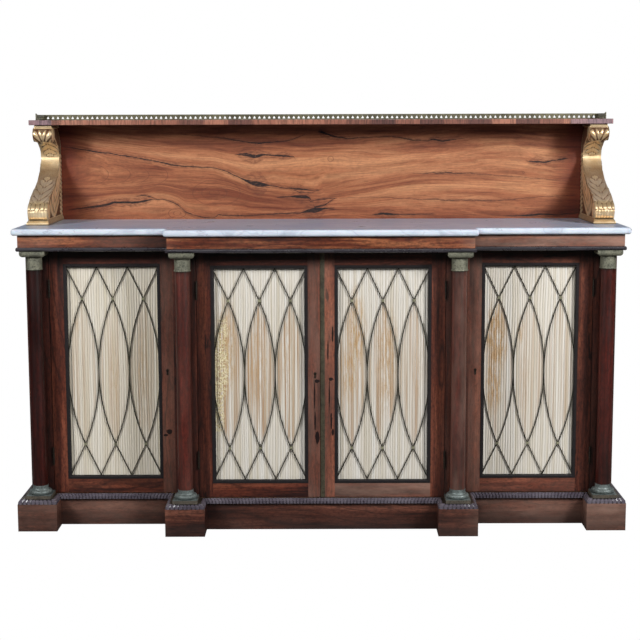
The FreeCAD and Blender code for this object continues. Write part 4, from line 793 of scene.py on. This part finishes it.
def pleats(low, high, seed):
    """Places x, y and z over the sheet, row by row, and how deep each lies in its pleat."""
    chance = random.Random(seed)
    widths = [chance.uniform(*PLEAT_WIDTHS) for _ in range(PLEATS)]
    edges = np.cumsum([0.0] + widths)
    edges = low.x + edges * (high.x - low.x) / edges[-1]
    steps = np.arange(PLEATS * STEPS_PER_PLEAT + 1)
    pleat = np.minimum(steps // STEPS_PER_PLEAT, PLEATS - 1)
    across = (steps - pleat * STEPS_PER_PLEAT) / STEPS_PER_PLEAT
    depth = np.array([chance.uniform(*PLEAT_DEPTHS) for _ in widths])[pleat]
    lean = np.array([chance.uniform(*PLEAT_LEANS) for _ in widths])[pleat]
    side = np.abs(2 * across ** (math.log(0.5) / np.log(lean)) - 1)
    share = np.linspace(0, 1, ROWS + 1)[:, None]
    sway = 0.0
    for order in range(3):
        wave = (2.0 + 1.7 * order) * math.pi * share + order + pleat * 0.35
        sway = sway + chance.uniform(-1, 1) * np.sin(wave)
    x = edges[pleat] + (edges[pleat + 1] - edges[pleat]) * across
    free = unit(np.minimum(x - low.x, high.x - x) / SWAY_FREE)
    full = unit(FULL_AT_ENDS + FULLNESS_RISE * np.minimum(share, 1 - share))
    fold = (1 - side ** 2.2) * depth * full
    x = x + free * SWAY * sway
    y = high.y - SILK_INSET - (high.y - low.y - 2 * SILK_INSET) * fold * PLEAT_FILLS
    z = np.broadcast_to(low.z + (high.z - low.z) * share, x.shape)
    return x, y, z, np.broadcast_to(side, x.shape)


def lit_through(x, z, middle):
    """1 behind the tall openings between the bows, 0 behind the ones above and below them."""
    opening = unit(1 - ((z - middle.z) / BOW_HALF_HEIGHT) ** 2)
    nearest = np.abs((x - middle.x + BOW_SPACING * 1.5) % BOW_SPACING - BOW_SPACING / 2)
    return unit((BOW_SPACING / 2 * opening - nearest) / BOW_EDGE)


def pleated_silk(door, seed):
    """A sheet of silk gathered into narrow upright pleats, tacked all round to its stretcher."""
    low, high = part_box(f"{door}_silk")
    x, y, z, side = pleats(low, high, seed)
    columns = x.shape[1]
    faces = []
    for row in range(ROWS):
        for column in range(columns - 1):
            corner = row * columns + column
            faces.append((corner, corner + 1, corner + columns + 1, corner + columns))
    mesh = bpy.data.meshes.new(f"{door}_pleats")
    mesh.from_pydata(np.stack([x, y, z], axis=2).reshape(-1, 3).tolist(), [], faces)
    # How near each place lies to a valley, for painted shade there.
    hold(mesh, "fold", side ** 3)
    hold(mesh, "aged", lit_through(x, z, (low + high) / 2) * AGED[door])
    cloth = silk(f"{door}_silk_cloth", seed * 1.7, WARMTH[door], STAINS[door], FRAYED.get(door))
    mesh.materials.append(cloth)
    smooth(mesh, SILK_SHARP_DEGREES)
    piece = new_object(f"{door}_pleats", mesh)
    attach(piece, DOORS[door])
    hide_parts(f"{door}_silk")


for seed, door in enumerate(DOORS, FIRST_SEED):
    pleated_silk(door, seed)


# ---- carved consoles

# Millimetres: up from the marble, reach from the back panel, and across from the middle, where
# 1 is half the scroll's width. Lobes are (across, up, half width, half height, how raised),
# leaves (foot, tip, half width, leaflets) and rolls (reach, up, radius).
HALF_SCROLL = 30.0
FOOT_TOP, HEAD_TOP, BACK_EDGE = 17, 291, 1.5
HEAD_FOOT, HEAD_REACH, CROWN_FOOT, CROWN_RIBS = 246, 60, 240, 13
HEAD_LOBES = ((0.52, 268, 0.52, 21, 1.0), (0.0, 262, 0.20, 13, 0.5))
ROLL_LOBES = ((0.0, 55, 0.24, 14, 1.0), (0.46, 56, 0.25, 14, 1.0), (0.88, 55, 0.20, 13, 1.0))
ROLL_LOBES_REACH, ROLL_LOBES_FOOT = 190, 40
FLUTE_REACH, FLUTE_FOOT, FLUTE_TOP, FLUTES = 200, 19, 43, 3.4
HANGING_LEAF = (-252, -200, 0.98, 3.4)
RISING_LEAF = (62, 139, 1.05, 4.4)
SIDE_LEAF = (16, 238, 1.0, 7)
LOW_ROLL, HIGH_ROLL = (238, 38.5, 26), (128, 270.5, 24)
FRONT_LINE = ((14, 262), (40, 262), (60, 248), (88, 199), (113, 128), (145, 71), (206, 27), (237, 60),
              (262, 105), (275, 148), (292, 140))
BORDER_LOBES, BORDER_FOOT, BORDER_PITCH, BORDER_REACH, BORDER_HALF_LOBE = 14, 18, 14.0, 24, 7.5
FRONT_RELIEF, SIDE_RELIEF, SIDE_SUNK = 3.2, 3.6, 2.6
WAIST, GROUND_FOOT, RUB_AND_SHADE_FOOT, RUB_AND_SHADE_TOP = 148, 236, 64, 150
PLAIN_HOLLOW, FOOT_HOLLOW, EDGE_HOLLOW = 0.2, 0.62, 0.15
CARVED_VOXEL = 1.3 * MM


def lobes(across, up, places):
    """Overlapping round lobes, the same on both sides: (across, up, half width, half height, raised)."""
    raised = np.zeros_like(up)
    for middle, height, half_across, half_up, top in places:
        away = ((np.abs(across) - middle) / half_across) ** 2 + ((up - height) / half_up) ** 2
        vein = 0.7 + 0.3 * unit(np.abs(np.abs(across) - middle) / 0.09)
        raised = np.maximum(raised, unit(1 - away) ** 0.75 * vein * top)
    return raised


def acanthus(across, up, foot, tip, half_width, leaflets):
    """A leaf from its foot to its tip: leaflets with a rib each, that lean up from the midrib."""
    length = tip - foot
    away = np.abs(across) / half_width
    along_leaf = (up - foot) / length
    lean = along_leaf - 0.30 * away
    beat = np.abs(np.cos(math.pi * leaflets * lean))
    full = unit(along_leaf) ** 0.45 * unit(1 - along_leaf) ** 0.55 * 1.75
    edge = full * (0.70 + 0.42 * beat ** 0.8) - away
    rounded = unit(edge / 0.26) ** 0.5
    rib = 0.30 + 0.70 * beat ** 0.8
    vein = 1 - 0.45 * np.exp(-((np.abs(away - 0.13) / 0.045) ** 2))
    return np.where((along_leaf > 0) & (along_leaf < 1), rounded * rib * vein, 0)


def finely_meshed(name):
    """A copy of the console's solid with an even, fine mesh."""
    piece = new_object(f"{name}_carved", nodes[name].data.copy())
    fine = piece.modifiers.new("Fine", "REMESH")
    fine.mode = "VOXEL"
    fine.voxel_size = CARVED_VOXEL
    even = piece.modifiers.new("Even", "SMOOTH")
    even.iterations = 3
    seen = bpy.context.evaluated_depsgraph_get()
    mesh = bpy.data.meshes.new_from_object(piece.evaluated_get(seen))
    piece.modifiers.clear()
    piece.data = mesh
    return piece


def vectors(collection, attribute_name):
    """The places or the normals of a mesh, one row for each point."""
    values = np.empty(len(collection) * 3, np.float32)
    collection.foreach_get(attribute_name, values)
    return values.reshape(-1, 3).astype(float)


def carve_front(across, up, reach, facing):
    """How far the front is lifted, and how dark the gilding is painted from 0 to 1: dirt and painted
    shade in the hollows, painted shadow under the head and painted shade on the waist.
    """
    turn = np.arctan2(up - CROWN_FOOT, np.abs(across) * HALF_SCROLL)
    ribs = 0.62 + 0.38 * np.cos(turn * CROWN_RIBS)
    head = (up > HEAD_FOOT) & (up < HEAD_TOP) & (reach > HEAD_REACH)
    crown = lobes(across, up, HEAD_LOBES) ** 0.6 * ribs * head
    hanging = acanthus(across, -up, *HANGING_LEAF)
    rising = acanthus(across, up, *RISING_LEAF)
    rolled = lobes(across, up, ROLL_LOBES) * (reach > ROLL_LOBES_REACH) * (up > ROLL_LOBES_FOOT)
    fluted = (up > FLUTE_FOOT) & (up <= FLUTE_TOP) & (reach > FLUTE_REACH)
    flutes = (0.78 + 0.14 * np.cos(2 * math.pi * across * FLUTES)) * fluted
    raised = np.maximum.reduce([crown, hanging, rising, rolled, flutes])

    leafy = facing & (raised > 0.01)
    bare = facing & (raised <= 0.01)
    # The sunk ground under the head, painted darker with dirt and painted shadow.
    ground = unit((up - GROUND_FOOT) / 8)
    lift = np.where(leafy, raised ** 0.8 * FRONT_RELIEF, np.where(bare, -ground, 0))
    hollow_and_shade = np.where(leafy, unit(1.30 - raised * 1.9), 0.14 + 0.6 * ground)
    # Painted shade on the plain waist.
    waist = unit(1.3 - np.abs(up - WAIST) / 42)
    return lift, np.where(bare, np.maximum(hollow_and_shade, 0.66 * waist), hollow_and_shade)


def carve_side(off_middle, up, reach, side):
    """The same for a side: a border of lobes along its back, and a leaf that follows the S."""
    front = np.interp(up, *zip(*FRONT_LINE))
    edge = front - reach
    field = side & (np.abs(off_middle) > HALF_SCROLL - 3) & (up > FOOT_TOP + 1) & (up < HEAD_TOP - 1)
    for roll_reach, roll_up, radius in (LOW_ROLL, HIGH_ROLL):
        field = field & (np.hypot(reach - roll_reach, up - roll_up) >= radius)
    field = field & (edge > 5)
    border = np.zeros_like(up)
    for number in range(BORDER_LOBES):
        foot = BORDER_FOOT + BORDER_PITCH * number
        half_reach = BORDER_REACH - number * 1.2
        rise = up - foot - 0.30 * reach
        away = ((reach - half_reach * 0.8) / half_reach) ** 2 + (rise / BORDER_HALF_LOBE) ** 2
        border = np.maximum(border, unit(1 - away) ** 0.5)
    spine = front * 0.5 + 10
    leaf = acanthus((reach - spine) / np.maximum(front - spine - 6, 1), up, *SIDE_LEAF)
    leaf = leaf * unit((edge - 9) / 4)
    lift = np.where(field, np.maximum(border, leaf) * SIDE_RELIEF - SIDE_SUNK, 0)
    sunk = unit(1.05 - np.maximum(border * 1.3, leaf * 1.1))
    return lift, np.where(field, sunk, PLAIN_HOLLOW)


def carve(name):
    """The console's solid with leaves and scrolls carved into it."""
    piece = finely_meshed(name)
    mesh = piece.data
    points = vectors(mesh.vertices, "co")
    normals = vectors(mesh.vertex_normals, "vector")
    low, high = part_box(name)
    off_middle = (points[:, 0] - (low.x + high.x) / 2) / MM
    reach = (high.y - points[:, 1]) / MM
    up = (points[:, 2] - low.z) / MM
    side_share = unit((np.abs(normals[:, 0]) - 0.5) / 0.4)
    side = side_share > 0.4
    facing = ~side & (normals[:, 1] < 0.2)
    front_lift, front_hollow_and_shade = carve_front(off_middle / HALF_SCROLL, up, reach, facing)
    side_lift, side_hollow = carve_side(off_middle, up, reach, side)

    still = (up < FOOT_TOP) | (up > HEAD_TOP) | (reach < BACK_EDGE)
    side_weight = unit(2.5 * side_share - 1)
    front_weight = unit(1 - 2.5 * side_share)
    lift = np.where(still, 0, side_lift * side_weight + front_lift * front_weight) * MM
    points += normals * lift[:, None]
    points = np.clip(points, np.array(low) + TOUCH, np.array(high) - TOUCH)
    mesh.vertices.foreach_set("co", points.astype(np.float32).ravel())
    hollow_and_shade = side_hollow * side_weight + front_hollow_and_shade * front_weight
    hollow_and_shade += PLAIN_HOLLOW * (1 - side_weight - front_weight)
    hollow_and_shade = np.where(still, np.where(side & (up < FOOT_TOP), FOOT_HOLLOW, EDGE_HOLLOW), hollow_and_shade)
    # How dark the gilding is painted: dirt and painted shade in the hollows, painted shadow under the
    # head, painted shade on the waist.
    hold(mesh, "carved", unit(hollow_and_shade))
    # The lower leaf painted greyer: gold gone thin, and painted shade.
    rubbed_and_shaded = unit((up - RUB_AND_SHADE_FOOT) / 8) * unit((RUB_AND_SHADE_TOP - up) / 26)
    hold(mesh, "rubbed_and_shaded", np.where(facing, rubbed_and_shaded, 0))
    mesh.materials.clear()
    mesh.materials.append(gold)
    smooth(mesh, 180)
    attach(piece, "case")
    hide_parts(name)


for name in ("console_left", "console_right"):
    carve(name)


# ---- floor, light and camera

SKY_COLOUR, SKY_STRENGTH = (0.93, 0.96, 1.0, 1), 0.02
FLOOR_HALF, FLOOR_GAP = 12, 0.5 * MM
# (name, place, target, size, watts)
LAMPS = (
    ("left_softbox", (-2.35, -2.2, 2.06), (0.1, 0, 0.75), (0.6, 0.9), 66),
    ("right_softbox", (2.35, -2.2, 2.06), (-0.1, 0, 0.75), (0.6, 0.9), 90),
    ("front_fill", (0, -4.6, 2.9), (0, 0, 0.6), (2.5, 1.0), 38),
    ("back_fill", (0, 4.2, 2.6), (0, 0, 0.6), (2.5, 1.2), 110),
)
EYE_PLACE = (0.0092, -4.4639, 1.2377)
TURN_DEGREES, DOWN_DEGREES, ROLL_DEGREES = 0.1668, 7.9018, -0.1612
FOCAL_PIXELS, FRAME_PIXELS, SENSOR_MM = 1459.97, 640, 36


def seen_as(tree, plain, seen):
    """A shader that the camera sees as one colour and the rest of the scene as another."""
    path = tree.nodes.new("ShaderNodeLightPath")
    blend = tree.nodes.new("ShaderNodeMixShader")
    tree.links.new(path.outputs["Is Camera Ray"], blend.inputs[0])
    tree.links.new(plain, blend.inputs[1])
    tree.links.new(seen, blend.inputs[2])
    return blend.outputs[0]


def white_backdrop():
    """Soft weak light from all round, and white where the camera looks past the object."""
    world = bpy.data.worlds.new("studio")
    bpy.context.scene.world = world
    world.use_nodes = True
    tree = world.node_tree
    tree.nodes.clear()
    soft = tree.nodes.new("ShaderNodeBackground")
    soft.inputs["Color"].default_value = SKY_COLOUR
    soft.inputs["Strength"].default_value = SKY_STRENGTH
    white = tree.nodes.new("ShaderNodeBackground")
    white.inputs["Color"].default_value = (1, 1, 1, 1)
    out = tree.nodes.new("ShaderNodeOutputWorld")
    tree.links.new(seen_as(tree, soft.outputs[0], white.outputs[0]), out.inputs[0])


def pale_floor():
    """A floor that is white to the camera and grey to the light."""
    graph = Graph("pale_floor")
    glow = graph.node("ShaderNodeEmission")
    graph.set(Base_Color=(0.15, 0.15, 0.15, 1), Roughness=0.8)
    mixed = seen_as(graph.tree, graph.shader.outputs[0], glow.outputs[0])
    graph.tree.links.new(mixed, graph.tree.nodes["Material Output"].inputs[0])
    mesh = bpy.data.meshes.new("floor")
    corners = [(x * FLOOR_HALF, y * FLOOR_HALF, 0) for x, y in ((-1, -1), (1, -1), (1, 1), (-1, 1))]
    mesh.from_pydata(corners, [], [(0, 1, 2, 3)])
    mesh.materials.append(graph.material)
    floor = new_object("floor", mesh)
    floor.location.z = -FLOOR_GAP


def area_light(name, place, target, size, power):
    """A rectangular lamp at a place, turned to a target."""
    lamp = bpy.data.lights.new(name, "AREA")
    lamp.shape = "RECTANGLE"
    lamp.size, lamp.size_y = size
    lamp.energy = power
    holder = new_object(name, lamp)
    holder.location = place
    holder.rotation_euler = (Vector(target) - Vector(place)).to_track_quat("-Z", "Y").to_euler()


def camera():
    """The photograph's camera, worked out from the object's edges in it."""
    lens = bpy.data.cameras.new("camera")
    lens.sensor_width = SENSOR_MM
    lens.lens = FOCAL_PIXELS / FRAME_PIXELS * SENSOR_MM
    eye = new_object("camera", lens)
    turn = Matrix.Rotation(math.radians(TURN_DEGREES), 4, "Z")
    tilt = Matrix.Rotation(math.radians(90 - DOWN_DEGREES), 4, "X")
    roll = Matrix.Rotation(math.radians(ROLL_DEGREES), 4, "Z")
    eye.matrix_world = Matrix.Translation(EYE_PLACE) @ turn @ tilt @ roll
    bpy.context.scene.camera = eye


white_backdrop()
pale_floor()
for lamp_facts in LAMPS:
    area_light(*lamp_facts)
camera()

view = bpy.context.scene.view_settings
view.view_transform = "Standard"
view.look = "None"
